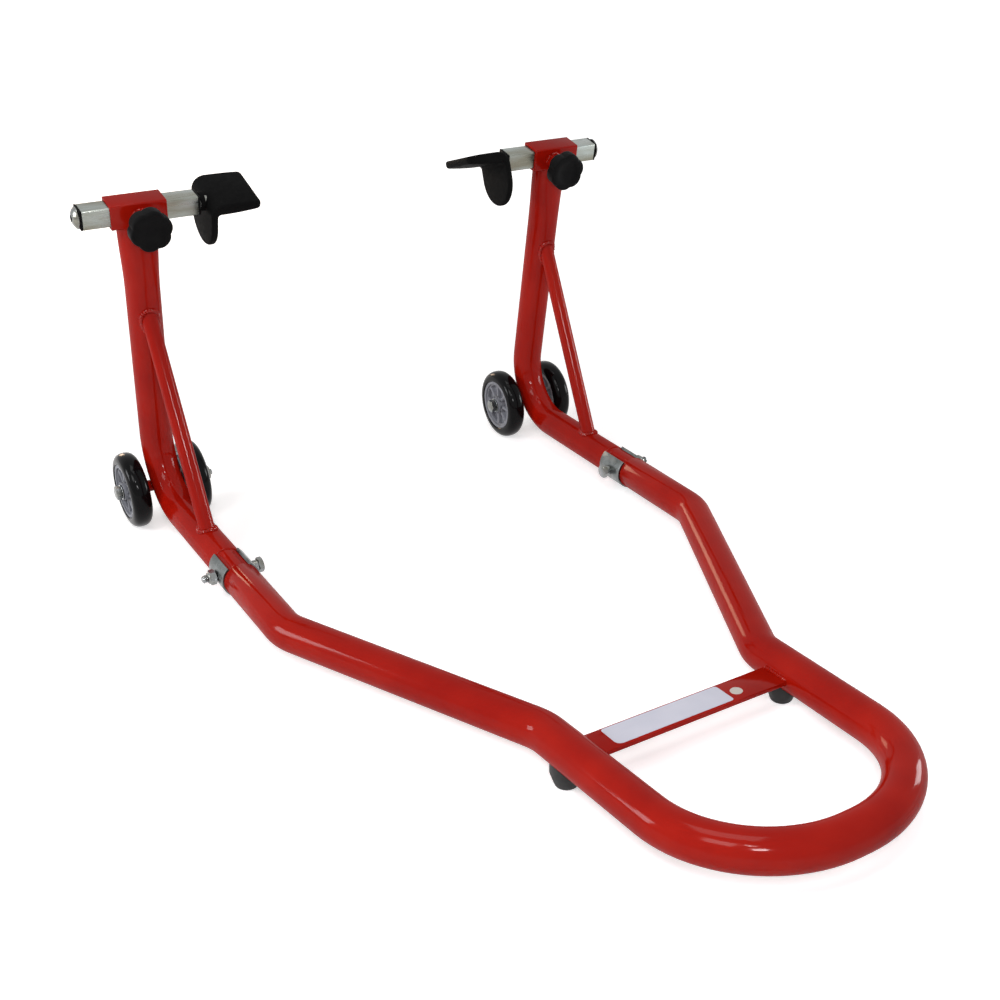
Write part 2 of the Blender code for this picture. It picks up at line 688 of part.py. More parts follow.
def hub_pockets(name):
    """The pockets between a hub's ribs, on both of its faces, as one cutter."""
    inner = BOSS_R + RIB_T / 2
    outer = RIM_R - RIM_WALL - RIB_T / 2
    work = bmesh.new()
    for index in range(HUB_RIBS):
        middle = math.pi * (2 * index + 1) / HUB_RIBS
        for floor in (WEB_WIDTH / 2, -WEB_WIDTH / 2):
            corners = []
            for radius, hand in ((inner, -1), (outer, -1), (outer, 1), (inner, 1)):
                angle = middle + hand * (math.pi / HUB_RIBS - math.asin(RIB_T / 2 / radius))
                corners.append(work.verts.new(
                    (radius * math.cos(angle), radius * math.sin(angle), floor)))
            face = work.faces.new(corners)
            raised = bmesh.ops.extrude_face_region(work, geom=[face], use_keep_orig=True)
            verts = [item for item in raised["geom"] if isinstance(item, bmesh.types.BMVert)]
            bmesh.ops.translate(work, verts=verts, vec=(0, 0, floor * 4))
    bmesh.ops.recalc_face_normals(work, faces=work.faces)
    mesh = bpy.data.meshes.new(name)
    work.to_mesh(mesh)
    work.free()
    return object_from(name, mesh)


def hub(name, matrix):
    """Moulded hub: deep rim, disc with pockets between radial ribs, and a boss on the bolt."""
    rim = RIM_WIDTH / 2
    disc = RIB_WIDTH / 2
    boss = HUB_WIDTH / 2
    rim_inner = RIM_R - RIM_WALL
    bore = clear(M8_R, WHEEL_STEPS)
    profile = [
        (rim_inner, rim), (RIM_R, rim), (RIM_R, -rim), (rim_inner, -rim),
        (rim_inner, -disc), (BOSS_R, -disc), (BOSS_R, -boss), (bore, -boss),
        (bore, boss), (BOSS_R, boss), (BOSS_R, disc), (rim_inner, disc),
    ]
    wheel = turned("hub_" + name, profile, WHEEL_STEPS)
    combine(wheel, as_cutter(hub_pockets("hub_pockets_" + name), matrix))
    return place(wheel, HUB, matrix)


def wheel_pair(side):
    """Two wheels on one bolt, one to each side of the rear arm."""
    name = side_name(side)
    for station, hand in (("outer", side), ("inner", -side)):
        centre = side * ARM_X + hand * WHEEL_OFFSET
        matrix = shifted(centre, AXLE_Y, WHEEL_R) @ ALONG_X
        tyre("%s_%s" % (name, station), matrix)
        hub("%s_%s" % (name, station), matrix)
    middle = shifted(side * ARM_X, AXLE_Y, WHEEL_R) @ ALONG_X
    hex_bolt("axle_bolt_" + name, -AXLE_END, AXLE_END + AXLE_NUT + AXLE_STICKOUT, middle)
    hex_nut("axle_nut_" + name, M8_FLATS, AXLE_NUT, M8_R, ZINC,
            middle @ shifted(0, 0, AXLE_END + AXLE_NUT / 2))
    near = BUSH_LENGTH / 2 + GAP + WASHER_T / 2
    far = AXLE_END - GAP - WASHER_T / 2
    for label, offset in (("a", -far), ("b", -near), ("c", near), ("d", far)):
        washer = ring("axle_washer_%s_%s" % (name, label), WASHER_R, clear(M8_R), WASHER_T)
        place(washer, ZINC, middle @ shifted(0, 0, offset))


# ---------------------------------------------------------------------------------------
# Heads: sleeve, sliding bar, clamp and pad
# ---------------------------------------------------------------------------------------
def head_frame(side):
    """Frame of the sleeve: X across, Z up the upright, -Y out of the clamped face."""
    centre = arm_point(side, UPRIGHT_RISE)
    return Matrix.Translation(centre) @ Matrix.Rotation(LEAN, 4, 'X')


def clamp_frame(side):
    """Frame of the clamp stud: Z out of the sleeve's front, low and inwards on its face."""
    low = shifted(-side * STUD_INWARD, 0, -STUD_DROP)
    return head_frame(side) @ low @ ALONG_Y.inverted()


def sleeve(side):
    """Square tube welded across the upright's top, drilled in front for the clamp stud."""
    name = side_name(side)
    frame = head_frame(side)
    size = (SLEEVE_LENGTH, SLEEVE_SIDE, SLEEVE_SIDE)
    tube = block("sleeve_" + name, size, SLEEVE_CORNER_R)
    inner = SLEEVE_SIDE - 2 * SLEEVE_WALL
    bore = block("sleeve_bore_" + name, (SLEEVE_LENGTH * 2, inner, inner))
    combine(tube, as_cutter(bore, frame))
    hole = prism("sleeve_stud_hole_" + name, clear(M10_R), SLEEVE_SIDE)
    combine(tube, as_cutter(hole, clamp_frame(side) @ shifted(0, 0, SLEEVE_SIDE / 2)))
    return place(tube, RED, frame)


def bar_frame(side):
    """Frame of the sliding bar: the head's, moved along X to the bar's middle."""
    return shifted(side * (BAR_MIDDLE_X - ARM_X), 0, 0) @ head_frame(side)


def sliding_bar(side):
    """Square tube that slides in the sleeve, with a plastic plug in each end."""
    name = side_name(side)
    frame = bar_frame(side)
    tube = block("bar_" + name, (BAR_LENGTH, BAR_SIDE, BAR_SIDE), BAR_CORNER_R)
    inner = BAR_SIDE - 2 * BAR_WALL
    combine(tube, as_cutter(block("bar_bore_" + name, (BAR_LENGTH * 2, inner, inner)), frame))
    place(tube, ZINC, frame)
    for label, way in (("inner", -side), ("outer", side)):
        bar_plug("bar_plug_%s_%s" % (name, label), way, inner - 2 * GAP, frame)


def bar_plug(name, way, spigot_side, frame):
    """Square end plug: a flange over the tube's end and a spigot inside it."""
    flange_x = way * (BAR_LENGTH / 2 + GAP + BAR_PLUG_FLANGE / 2)
    plug = block(name, (BAR_PLUG_FLANGE, BAR_SIDE, BAR_SIDE), BAR_CORNER_R)
    plug.data.transform(shifted(flange_x, 0, 0))
    length = BAR_PLUG_DEPTH + BAR_PLUG_FLANGE / 2
    spigot = block(name + "_spigot", (length, spigot_side, spigot_side))
    spigot.data.transform(shifted(flange_x - way * length / 2, 0, 0))
    combine(plug, as_cutter(spigot, frame), 'UNION')
    hole = prism(name + "_hole", clear(M10_R), BAR_PLUG_DEPTH * 4)
    combine(plug, as_cutter(hole, frame @ shifted(flange_x, 0, 0) @ ALONG_X))
    return place(plug, PLASTIC, frame)


def clamp(side):
    """Weld nut on the sleeve, threaded stud through it, and the lobed knob on the stud."""
    name = side_name(side)
    frame = clamp_frame(side)
    flat_down = Matrix.Rotation(math.radians(30), 4, 'Z')
    weld_nut = frame @ shifted(0, 0, NUT_SEAT + M10_NUT / 2) @ flat_down
    hex_nut("clamp_nut_" + name, M10_FLATS, M10_NUT, M10_R, RED, weld_nut)

    stud_end = KNOB_BACK + STUD_IN_KNOB
    stud = prism("clamp_stud_" + name, M10_R, stud_end - STUD_TIP)
    stud.data.transform(shifted(0, 0, (stud_end + STUD_TIP) / 2))
    place(stud, ZINC, frame)

    outline = []
    points = KNOB_LOBES * 6
    for index in range(points):
        angle = 2 * math.pi * index / points
        lobe = abs(math.cos(KNOB_LOBES * (angle - KNOB_PHASE) / 2)) ** 0.6
        radius = KNOB_R - KNOB_NOTCH * (1 - lobe)
        outline.append((radius * math.cos(angle), radius * math.sin(angle)))
    knob = outlined("knob_" + name, outline, KNOB_THICKNESS)
    knob_middle = KNOB_BACK + KNOB_HUB_HEIGHT + KNOB_THICKNESS / 2
    knob.data.transform(shifted(0, 0, knob_middle))
    edge = knob.modifiers.new("rounded_edge", 'BEVEL')
    edge.width = KNOB_EDGE_R
    edge.segments = 1
    edge.limit_method = 'ANGLE'
    edge.angle_limit = math.radians(60)
    hub_length = KNOB_HUB_HEIGHT + KNOB_THICKNESS / 2
    knob_hub = prism("knob_hub_" + name, KNOB_HUB_R, hub_length, 16)
    combine(knob, as_cutter(knob_hub, frame @ shifted(0, 0, KNOB_BACK + hub_length / 2)), 'UNION')
    bore = prism("knob_bore_" + name, clear(M10_R), 2 * (STUD_IN_KNOB + GAP))
    combine(knob, as_cutter(bore, frame @ shifted(0, 0, KNOB_BACK)))
    return place(knob, PLASTIC, frame)


def pad_axis(side):
    """Frame of a pad: on the through bolt, at the pad's outer face, tilted as it rests."""
    centre = arm_point(side, UPRIGHT_RISE)
    turn = Matrix.Rotation(PAD_TILT[side], 4, 'X')
    return shifted(side * PAD_FACE_X, centre.y, centre.z) @ turn


def pad_shape(name, side, inset):
    """The pad's bent strip with its rounded tongue, drawn in by an even inset."""
    inwards = -side
    top = PAD_TOP - inset
    under = PAD_TOP - PAD_PLATE_T + inset
    near = inset
    far = PAD_T - inset
    tip = PAD_DROP - inset
    length = PAD_LENGTH - inset
    outer_r = PAD_BEND_R - inset
    inner_r = PAD_INNER_R + inset
    profile = [(near, -tip)] + arc((near + outer_r, top - outer_r), outer_r, 180, 90, 5)
    profile += [(length, top), (length, under)]
    profile += arc((far + inner_r, under - inner_r), inner_r, 90, 180, 3)
    profile += [(far, -tip)]
    half = PAD_WIDTH / 2 - inset
    strip = outlined(name, [(inwards * u, w) for u, w in profile], 2 * half)
    strip.data.transform(Matrix.Rotation(math.radians(90), 4, 'X'))
    work = bmesh.new()
    work.from_mesh(strip.data)
    corners = [edge for edge in work.edges
               if all(abs(inwards * vert.co.x - length) < 1e-6 for vert in edge.verts)
               and abs(edge.verts[0].co.y - edge.verts[1].co.y) < 1e-6]
    bmesh.ops.bevel(work, geom=corners, offset=PAD_CORNER_R - inset, segments=3, profile=0.5,
                    affect='EDGES', material=-1)
    work.to_mesh(strip.data)
    work.free()
    strip.data.transform(shifted(0, PAD_HOLE_OFFSET, 0))

    rise = PAD_TIP_R - inset
    wide = half + GAP / 2
    tongue = [(wide, PAD_TOP * 2), (-wide, PAD_TOP * 2)]
    for step in range(11):
        angle = math.pi * (1 + step / 10)
        tongue.append((wide * math.cos(angle), rise * math.sin(angle) + rise - tip))
    outline = outlined(name + "_outline", tongue, PAD_LENGTH * 3)
    upright = Matrix.Rotation(math.radians(90), 4, 'Z') @ Matrix.Rotation(math.radians(90), 4, 'X')
    outline.data.transform(shifted(0, PAD_HOLE_OFFSET, 0) @ upright)
    as_cutter(outline, pad_axis(side))
    combine(strip, outline, 'INTERSECT')
    return strip


def pad(side):
    """Steel angle in a rubber boot, with the dome-headed bolt and collar that hold it."""
    name = side_name(side)
    frame = pad_axis(side)
    boot = pad_shape("pad_boot_" + name, side, 0.0)
    pocket = pad_shape("pad_pocket_" + name, side, PAD_RUBBER)
    combine(boot, as_cutter(pocket, frame))
    mouth = prism("pad_mouth_" + name, clear(M10_R), 2 * (PAD_T - PAD_RUBBER - GAP / 2))
    combine(boot, as_cutter(mouth, frame @ ALONG_X))
    place(boot, RUBBER, frame)

    core = pad_shape("pad_core_" + name, side, PAD_RUBBER + GAP)
    tapped = prism("pad_thread_" + name, clear(M10_R), PAD_T * 4)
    combine(core, as_cutter(tapped, frame @ ALONG_X))
    place(core, STEEL, frame)

    outwards = ALONG_X if side > 0 else Matrix.Rotation(math.radians(-90), 4, 'Y')
    head = DOME_SEAT_X - PAD_FACE_X
    tip = -(PAD_T - PAD_RUBBER - GAP)
    ball_r = (DOME_R ** 2 + DOME_HEIGHT ** 2) / (2 * DOME_HEIGHT)
    widest = math.degrees(math.asin(DOME_R / ball_r))
    centre = head + DOME_RIM + DOME_HEIGHT - ball_r
    dome = arc((0, centre), ball_r, 90, 90 - widest, 3)
    dome[0] = (0, head + DOME_RIM + DOME_HEIGHT)
    profile = dome + [(DOME_R, head), (M10_R, head), (M10_R, tip), (0, tip)]
    bolt = turned("pad_bolt_" + name, profile, 16, closed=False)
    place(bolt, ZINC, frame @ outwards)
    spacer = ring("pad_spacer_" + name, PAD_SPACER_R, clear(M10_R), PAD_SPACER_LENGTH)
    middle = GAP + PAD_SPACER_LENGTH / 2
    return place(spacer, ZINC, frame @ outwards @ shifted(0, 0, middle))


# ---------------------------------------------------------------------------------------
# Assembly
# ---------------------------------------------------------------------------------------
handle_frame()
cross_plate()
for hand in (-1, 1):
    rubber_foot(hand)
    foot_screw(hand)
    rear_arm(hand)
    brace(hand)
    axle_bush(hand)
    saddle(hand)
    coupling_bolt(hand)
    wheel_pair(hand)
    sleeve(hand)
    sliding_bar(hand)
    clamp(hand)
    pad(hand)
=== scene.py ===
"""A motorcycle paddock stand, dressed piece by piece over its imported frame."""
from math import asin, atan2, cos, degrees, hypot, pi, radians, sin, sqrt, tan

import bmesh
import bpy
from bmesh.types import BMEdge, BMVert
from mathutils import Matrix, Vector


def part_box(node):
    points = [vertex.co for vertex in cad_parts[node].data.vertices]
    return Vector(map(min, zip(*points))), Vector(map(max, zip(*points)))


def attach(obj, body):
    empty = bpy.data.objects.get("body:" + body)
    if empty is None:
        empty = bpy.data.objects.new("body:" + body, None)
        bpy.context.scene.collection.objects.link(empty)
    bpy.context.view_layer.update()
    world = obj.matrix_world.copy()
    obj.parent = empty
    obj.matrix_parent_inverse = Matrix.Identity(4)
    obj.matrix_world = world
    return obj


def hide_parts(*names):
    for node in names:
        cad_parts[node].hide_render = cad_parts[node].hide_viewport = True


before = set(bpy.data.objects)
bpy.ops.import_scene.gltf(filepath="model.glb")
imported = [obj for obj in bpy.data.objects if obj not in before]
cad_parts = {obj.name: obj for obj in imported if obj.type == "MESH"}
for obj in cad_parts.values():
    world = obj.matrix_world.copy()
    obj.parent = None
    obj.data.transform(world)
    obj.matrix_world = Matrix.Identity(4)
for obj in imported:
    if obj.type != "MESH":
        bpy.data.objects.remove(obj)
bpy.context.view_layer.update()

# --------------------
# Front tube
# One steel tube, bent cold over six formers from the left coupling, round the handle, to
# the right coupling. It is powder-coated red once its plate and nuts are welded on.
# --------------------
FRONT_R = 0.0171
FRONT_BORE_R = 0.0151
RIM_LIP = 0.0012  # turned edge of the tube's two mouths
MOUTH_DEPTH = 0.036
FLARE_BEND_R = 0.052
LEG_BEND_R = 0.049
FLARE_Y = -0.340  # bends along the tube, from the wheel axle
LEG_Y = -0.5903
LEG_X = 0.1113
GRIP_X = 0.1043
GRIP_STRAIGHT = 0.0043
ROUND = 48  # sides of a visible round
GAP = 0.0003  # between pieces that don't touch
MERGED = 0.000002  # vertices nearer than this are one
TOUCHING = 0.000001
SIDES = {"left": -1, "right": 1}


def middle(node):
    """Centre of a CAD node's box."""
    low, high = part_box(node)
    return (low + high) / 2


def reach_x(node):
    """How near to the stand's middle plane a CAD node comes, and how far from it."""
    return sorted(abs(corner.x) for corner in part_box(node))


def add(tree, kind, inputs=None, **options):
    """One shader node, with its options set and its inputs set or linked."""
    made = tree.nodes.new(kind)
    for name, value in options.items():
        setattr(made, name, value)
    for name, value in (inputs or {}).items():
        if isinstance(value, bpy.types.NodeSocket):
            tree.links.new(value, made.inputs[name])
        else:
            made.inputs[name].default_value = value
    return made


def mottle(tree, scale, detail=3.0, stretch=(1, 1, 1)):
    """Even noise through the piece, as fine as its scale and drawn out along an axis."""
    where = add(tree, "ShaderNodeTexCoord").outputs["Object"]
    spread = add(tree, "ShaderNodeMapping", {"Vector": where, "Scale": stretch})
    noise = add(tree, "ShaderNodeTexNoise", {
        "Vector": spread.outputs["Vector"], "Scale": scale, "Detail": detail})
    return noise.outputs["Fac"]


def between(tree, value, low, high, new_low, new_high):
    """A value stretched from one range to another and held inside it."""
    made = add(tree, "ShaderNodeMapRange", {
        "Value": value, "From Min": low, "From Max": high,
        "To Min": new_low, "To Max": new_high})
    return made.outputs["Result"]


def coat(name, slot, colours, grain, rough, grit, bumps, spread=(0.3, 0.7), **plain):
    """A Principled material. A grain mixes its two colours, a grit its two roughnesses, and
    its bumps start with their depth in metres. The rest are plain values of the shader."""
    made = bpy.data.materials.new(name)
    made.use_nodes = True
    tree = made.node_tree
    shader = tree.nodes["Principled BSDF"]
    mix = add(tree, "ShaderNodeMix", {
        "Factor": between(tree, mottle(tree, *grain), *spread, 0, 1)}, data_type='RGBA')
    for socket, colour in zip(mix.inputs[6:8], colours):
        socket.default_value = (*colour, 1)
    tree.links.new(mix.outputs[2], shader.inputs["Base Color"])
    tree.links.new(between(tree, mottle(tree, *grit), 0.3, 0.7, *rough), shader.inputs["Roughness"])
    below = shader.inputs["Normal"]
    for depth, *fine in reversed(bumps):
        bump = add(tree, "ShaderNodeBump", {"Height": mottle(tree, *fine), "Distance": depth})
        tree.links.new(bump.outputs["Normal"], below)
        below = bump.inputs["Normal"]
    for socket, value in plain.items():
        shader.inputs[socket.replace("_", " ")].default_value = value
    return made


red_coat = coat("red_powder_coat", "red_paint",
                ((0.300, 0.0048, 0.0015), (0.366, 0.0086, 0.0029)), (16,), (0.25, 0.35), (40,),
                ((0.000028, 260, 2.0), (0.000003, 1500, 1.0)), (0.35, 0.65),
                Specular_IOR_Level=0.0, Coat_Weight=0.22, Coat_Roughness=0.10, Coat_IOR=1.5)
bead_coat = red_coat.copy()  # the paint that runs thick and glossy over a weld
bead_coat.name = "red_paint_on_welds"
bead_shader = bead_coat.node_tree.nodes["Principled BSDF"]
bead_shader.inputs["Coat Weight"].default_value = 0.45
bead_shader.inputs["Coat Roughness"].default_value = 0.06


def verts_of(edges):
    """The vertices of these edges, each once."""
    return list(dict.fromkeys(vert for edge in edges for vert in edge.verts))


def picked(made, kind):
    """The items of one kind in an operator's result."""
    return [item for item in made if isinstance(item, kind)]


def rim_of(verts):
    """The edges that run between these vertices."""
    inside = set(verts)
    return list(dict.fromkeys(
        edge for vert in verts for edge in vert.link_edges if set(edge.verts) <= inside))


def polar(radius, turn, height=0.0):
    """A point at this radius and turn about the Z axis."""
    return Vector((radius * cos(turn), radius * sin(turn), height))


def facing(centre, direction):
    """A place with its Z axis along a direction."""
    turn = Vector(direction).to_track_quat('Z', 'Y').to_matrix().to_4x4()
    return Matrix.Translation(centre) @ turn


def open_rim(work, centre, direction, radius, sides=ROUND):
    """A round rim of edges, ready to be drawn on into a pipe."""
    made = bmesh.ops.create_circle(
        work, cap_ends=False, segments=sides, radius=radius, matrix=facing(centre, direction))
    return rim_of(made["verts"])


def drawn(work, rim, travel=(0, 0, 0)):
    """Draw an open rim straight on, with a wall behind it."""
    made = bmesh.ops.extrude_edge_only(work, edges=rim)["geom"]
    verts = picked(made, BMVert)
    bmesh.ops.translate(work, verts=verts, vec=travel)
    return rim_of(verts)


def sized(work, rim, centre, factor):
    """Widen or narrow a rim about its centre."""
    bmesh.ops.scale(work, verts=verts_of(rim), vec=(factor, factor, factor),
                    space=Matrix.Translation(-Vector(centre)))
    return rim


def swept(work, geom, axis, angle, steps, centre=(0, 0, 0), climb=(0, 0, 0)):
    """Sweep verts and edges round an axis, and return the last copy of them."""
    return bmesh.ops.spin(work, geom=geom, cent=centre, axis=axis, dvec=climb, angle=angle,
                          steps=steps, use_merge=False, use_duplicate=False)["geom_last"]


def bend_pipe(work, rim, corners, radii):
    """Draw a rim along straight runs, and round a bend at every inner corner."""
    here = corners[0]
    for before, corner, after, radius in zip(corners, corners[1:], corners[2:], radii):
        ahead = (corner - before).normalized()
        onward = (after - corner).normalized()
        angle = ahead.angle(onward)
        reach = radius * tan(angle / 2)
        start = corner - ahead * reach
        rim = drawn(work, rim, start - here)
        inwards = (onward - ahead * ahead.dot(onward)).normalized()
        steps = max(3, round(degrees(angle) / 4))
        last = swept(work, verts_of(rim) + rim, ahead.cross(onward), angle, steps,
                     start + inwards * radius)
        rim = rim_of(picked(last, BMVert))
        here = corner + onward * reach
    return drawn(work, rim, corners[-1] - here)


def capped(work, *rims):
    """Close each rim with a face."""
    for rim in rims:
        bmesh.ops.edgeloop_fill(work, edges=rim)


def rounded(work, geom, radius, steps, affect='EDGES'):
    """Round edges off, or corners."""
    bmesh.ops.bevel(work, geom=geom, offset=radius, segments=steps, profile=0.5, affect=affect,
                    material=-1)


def neck_down(work, rim, here, steps):
    """Draw a rim on by short steps of (travel, radius), each a little wider or narrower."""
    for travel, radius in steps:
        rim = drawn(work, rim, travel)
        here = here + travel
        before = (verts_of(rim)[0].co - here).length
        rim = sized(work, rim, here, radius / before)
    return rim


def placed(name, work, skin, smooth=35):
    """Turn the work into an object that wears this material."""
    bmesh.ops.remove_doubles(work, verts=work.verts, dist=MERGED)
    bmesh.ops.recalc_face_normals(work, faces=work.faces)
    mesh = bpy.data.meshes.new(name)
    work.to_mesh(mesh)
    work.free()
    mesh.materials.append(skin)
    mesh.shade_smooth()
    mesh.set_sharp_from_angle(angle=radians(smooth))
    piece = bpy.data.objects.new(name, mesh)
    bpy.context.scene.collection.objects.link(piece)
    return piece


def finished(name, work, skin, body, *nodes, smooth=35):
    """Make a piece that rides on its body and stands for its CAD nodes."""
    piece = placed(name, work, skin, smooth)
    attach(piece, body)
    if nodes:
        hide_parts(*nodes)


axle = middle("axle_bolt_left")
frame_low, frame_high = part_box("handle_frame")
ARM_X = -middle("upright_left").x
FRAME_Z = middle("coupling_bolt_left").z
GRIP_Y = frame_low.y + FRONT_R
GRIP_Z = frame_high.z - FRONT_R

left_run = [Vector((-ARM_X, frame_high.y, FRAME_Z)),
            Vector((-ARM_X, axle.y + FLARE_Y, FRAME_Z)),
            Vector((-LEG_X, axle.y + LEG_Y, FRAME_Z)),
            Vector((-GRIP_X, GRIP_Y, GRIP_Z))]
right_run = [Vector((-point.x, point.y, point.z)) for point in reversed(left_run)]
leg_line = (left_run[2] - left_run[3]).normalized()
grip_bend_r = (GRIP_X - GRIP_STRAIGHT) * tan(leg_line.angle(Vector((1, 0, 0))) / 2)
inwards = Vector((0, -RIM_LIP / 2, 0))
lip = [(inwards, FRONT_R - RIM_LIP / 4), (inwards, FRONT_R)]

work = bmesh.new()
mouth = open_rim(work, left_run[0], (0, -1, 0), FRONT_R - RIM_LIP)
rim = neck_down(work, mouth, left_run[0], lip)
run = [left_run[0] + 2 * inwards] + left_run[1:] + right_run[:-1] + [right_run[-1] + 2 * inwards]
rim = bend_pipe(work, rim, run, [FLARE_BEND_R, LEG_BEND_R, grip_bend_r, grip_bend_r,
                                 LEG_BEND_R, FLARE_BEND_R])
rim = neck_down(work, rim, run[-1], [(-inwards, FRONT_R - RIM_LIP / 4),
                                     (-inwards, FRONT_R - RIM_LIP)])
for end, centre in ((mouth, left_run[0]), (rim, right_run[-1])):
    bore = sized(work, drawn(work, end), centre, FRONT_BORE_R / (FRONT_R - RIM_LIP))
    capped(work, drawn(work, bore, Vector((0, -MOUTH_DEPTH, 0))))
finished("front_tube", work, red_coat, "frame", "handle_frame")


def leg_point(side, y):
    """The point of a handle leg's axis at this Y."""
    foot = Vector((LEG_X, axle.y + LEG_Y, FRAME_Z))
    point = foot + leg_line * (y - foot.y) / leg_line.y
    along = (y - foot.y) / (GRIP_Y - foot.y)
    return Vector((side * (LEG_X + (GRIP_X - LEG_X) * along), y, point.z))


# --------------------
# Cross plate
# A flat steel bar that stiffens the handle's legs, welded in at both ends. It carries a
# plain foil label and a round paper dot, both left bare.
# --------------------
PLATE_WIDTH = 0.030
PLATE_T = 0.004
PLATE_EDGE_R = 0.0005
BEAD_R = 0.0027
BEAD_STEP = 0.00065  # between two rings of a bead
RIPPLE = 4  # rings in one ripple
RIPPLE_DEPTH = 0.42  # of the bead's radius
BEAD_SIDES = 10
WELD_SINK = 0.0008  # how far the plate's end goes into the tube
LABEL_X = (-0.0756, 0.0400)
LABEL_WIDTH = 0.0259
LABEL_CORNER_R = 0.0028
LABEL_WORN_R = 0.0058  # the corner that a thumb has rubbed round
LABEL_SHIFT = 0.0006  # from the plate's middle line towards the wheels
LABEL_T = 0.00018
DOT_X = 0.0497
DOT_R = 0.0055
DOT_SHIFT = -0.0024


def set_down(work, place, known=()):
    """Move all but the known vertices to their place."""
    fresh = [vert for vert in work.verts if vert not in known]
    bmesh.ops.transform(work, matrix=place, verts=fresh)


def block(work, place, *size):
    """A block of this size about a place, and its edges."""
    made = bmesh.ops.create_cube(work, size=1.0, matrix=place @ Matrix.Diagonal((*size, 1)))
    return rim_of(made["verts"])


def weld_bead(work, path, radius, closed=False):
    """A bead along a seam: rings that swell and fall back as the torch steps on."""
    rims = []
    last = len(path) - 1
    for index, point in enumerate(path):
        ahead = path[(index + 1) % len(path)] if closed or index < last else point
        behind = path[index - 1] if closed or index else point
        swell = 1 - RIPPLE_DEPTH * (index % RIPPLE) / RIPPLE
        if not closed:
            swell *= min(1, 0.45 + 0.2 * min(index, last - index))
        rims.append(open_rim(work, point, ahead - behind, radius * swell, BEAD_SIDES))
    for first, second in zip(rims, rims[1:]):
        bmesh.ops.bridge_loops(work, edges=first + second)
    if closed:
        bmesh.ops.bridge_loops(work, edges=rims[-1] + rims[0])
    else:
        capped(work, rims[0], rims[-1])


def ring_count(length):
    """How many rings a bead of this length has."""
    return max(8, round(length / BEAD_STEP / RIPPLE) * RIPPLE)


def straight_seam(start, end):
    """Stations of a straight bead."""
    count = ring_count((end - start).length)
    return [start.lerp(end, index / count) for index in range(count + 1)]


plate_middle = middle("cross_plate")
slope = atan2(leg_line.z, leg_line.y)
plate_place = Matrix.Translation(plate_middle) @ Matrix.Rotation(slope, 4, 'X')
work = bmesh.new()
block(work, plate_place, 2 * LEG_X, PLATE_WIDTH, PLATE_T)
for side in (-1, 1):
    across = Vector((side, 0, 0))
    across = (across - leg_line * across.dot(leg_line)).normalized()
    seat = leg_point(side, plate_middle.y) - across * (FRONT_R - WELD_SINK)
    cut = bmesh.ops.bisect_plane(work, geom=work.verts[:] + work.edges[:] + work.faces[:],
                                 plane_co=seat, plane_no=(side * leg_line.y, -leg_line.x, 0),
                                 clear_outer=True)["geom_cut"]
    capped(work, picked(cut, BMEdge))
rounded(work, work.edges[:], PLATE_EDGE_R, 2)
finished("stiffener_plate", work, red_coat, "frame", "cross_plate")

work = bmesh.new()
for side in (-1, 1):
    for level in (-1, 1):
        rise = level * (PLATE_T / 2 + 0.0004)
        ends = []
        for end in (-1, 1):
            y = plate_middle.y + end * (PLATE_WIDTH / 2 - 0.001)
            leg = leg_point(side, y)
            inset = sqrt(FRONT_R ** 2 - rise ** 2)
            ends.append(Vector((leg.x - side * inset, y, leg.z + rise)))
        weld_bead(work, straight_seam(*ends), BEAD_R)
finished("plate_welds", work, bead_coat, "frame", smooth=60)

label_foil = coat("label_foil", None, ((0.560, 0.570, 0.660), (0.620, 0.625, 0.710)), (30,),
                  (0.30, 0.42), (90,), ((0.00008, 60),))
dot_paper = coat("dot_paper", None, ((0.520, 0.485, 0.440), (0.600, 0.565, 0.515)), (120,),
                 (0.55, 0.75), (300,), ((0.00004, 900),))

work = bmesh.new()
top = plate_place @ Matrix.Translation((0, 0, PLATE_T / 2))
block(work, Matrix.Translation((sum(LABEL_X) / 2, LABEL_SHIFT, LABEL_T / 2)),
      LABEL_X[1] - LABEL_X[0], LABEL_WIDTH, LABEL_T)
corners = [edge for edge in work.edges
           if abs(edge.verts[0].co.z - edge.verts[1].co.z) > LABEL_T / 2]
worn = min(corners, key=lambda edge: edge.verts[0].co.x + edge.verts[0].co.y)
rounded(work, [worn], LABEL_WORN_R, 8)
rounded(work, [edge for edge in corners if edge.is_valid and edge is not worn], LABEL_CORNER_R, 8)
set_down(work, top)
finished("bare_label", work, label_foil, "frame")

work = bmesh.new()
bmesh.ops.create_cone(work, cap_ends=True, segments=ROUND, radius1=DOT_R, radius2=DOT_R - 0.0001,
                      depth=LABEL_T, matrix=top @ Matrix.Translation(
                          (DOT_X, DOT_SHIFT, LABEL_T / 2)))
finished("bare_dot", work, dot_paper, "frame")

# --------------------
# Rubber feet
# Two moulded rubber feet, tapered downwards and hollowed to the tube above, each held by a
# zinc-plated pan-head screw from below.
# --------------------
FOOT_BOTTOM_R = 0.0095
FOOT_TOP_R = 0.0138
FOOT_EDGE_R = 0.0032
FOOT_RECESS_R = 0.0048
FOOT_RECESS = 0.004
FOOT_SEAT_Z = 0.013  # where the foot's side is still free of the tube


def eased(corners, steps=5):
    """A profile of (radius, height, roundness), its corners rounded off."""
    points = []
    for index, (radius, height, ease) in enumerate(corners):
        here = Vector((radius, height))
        if not ease:
            points.append(here)
            continue
        before = (Vector(corners[index - 1][:2]) - here).normalized()
        after = (Vector(corners[(index + 1) % len(corners)][:2]) - here).normalized()
        reach = ease / tan(before.angle(after) / 2)
        for step in range(steps + 1):
            part = step / steps
            points.append(here + before * reach * (1 - part) ** 2 + after * reach * part ** 2)
    return points


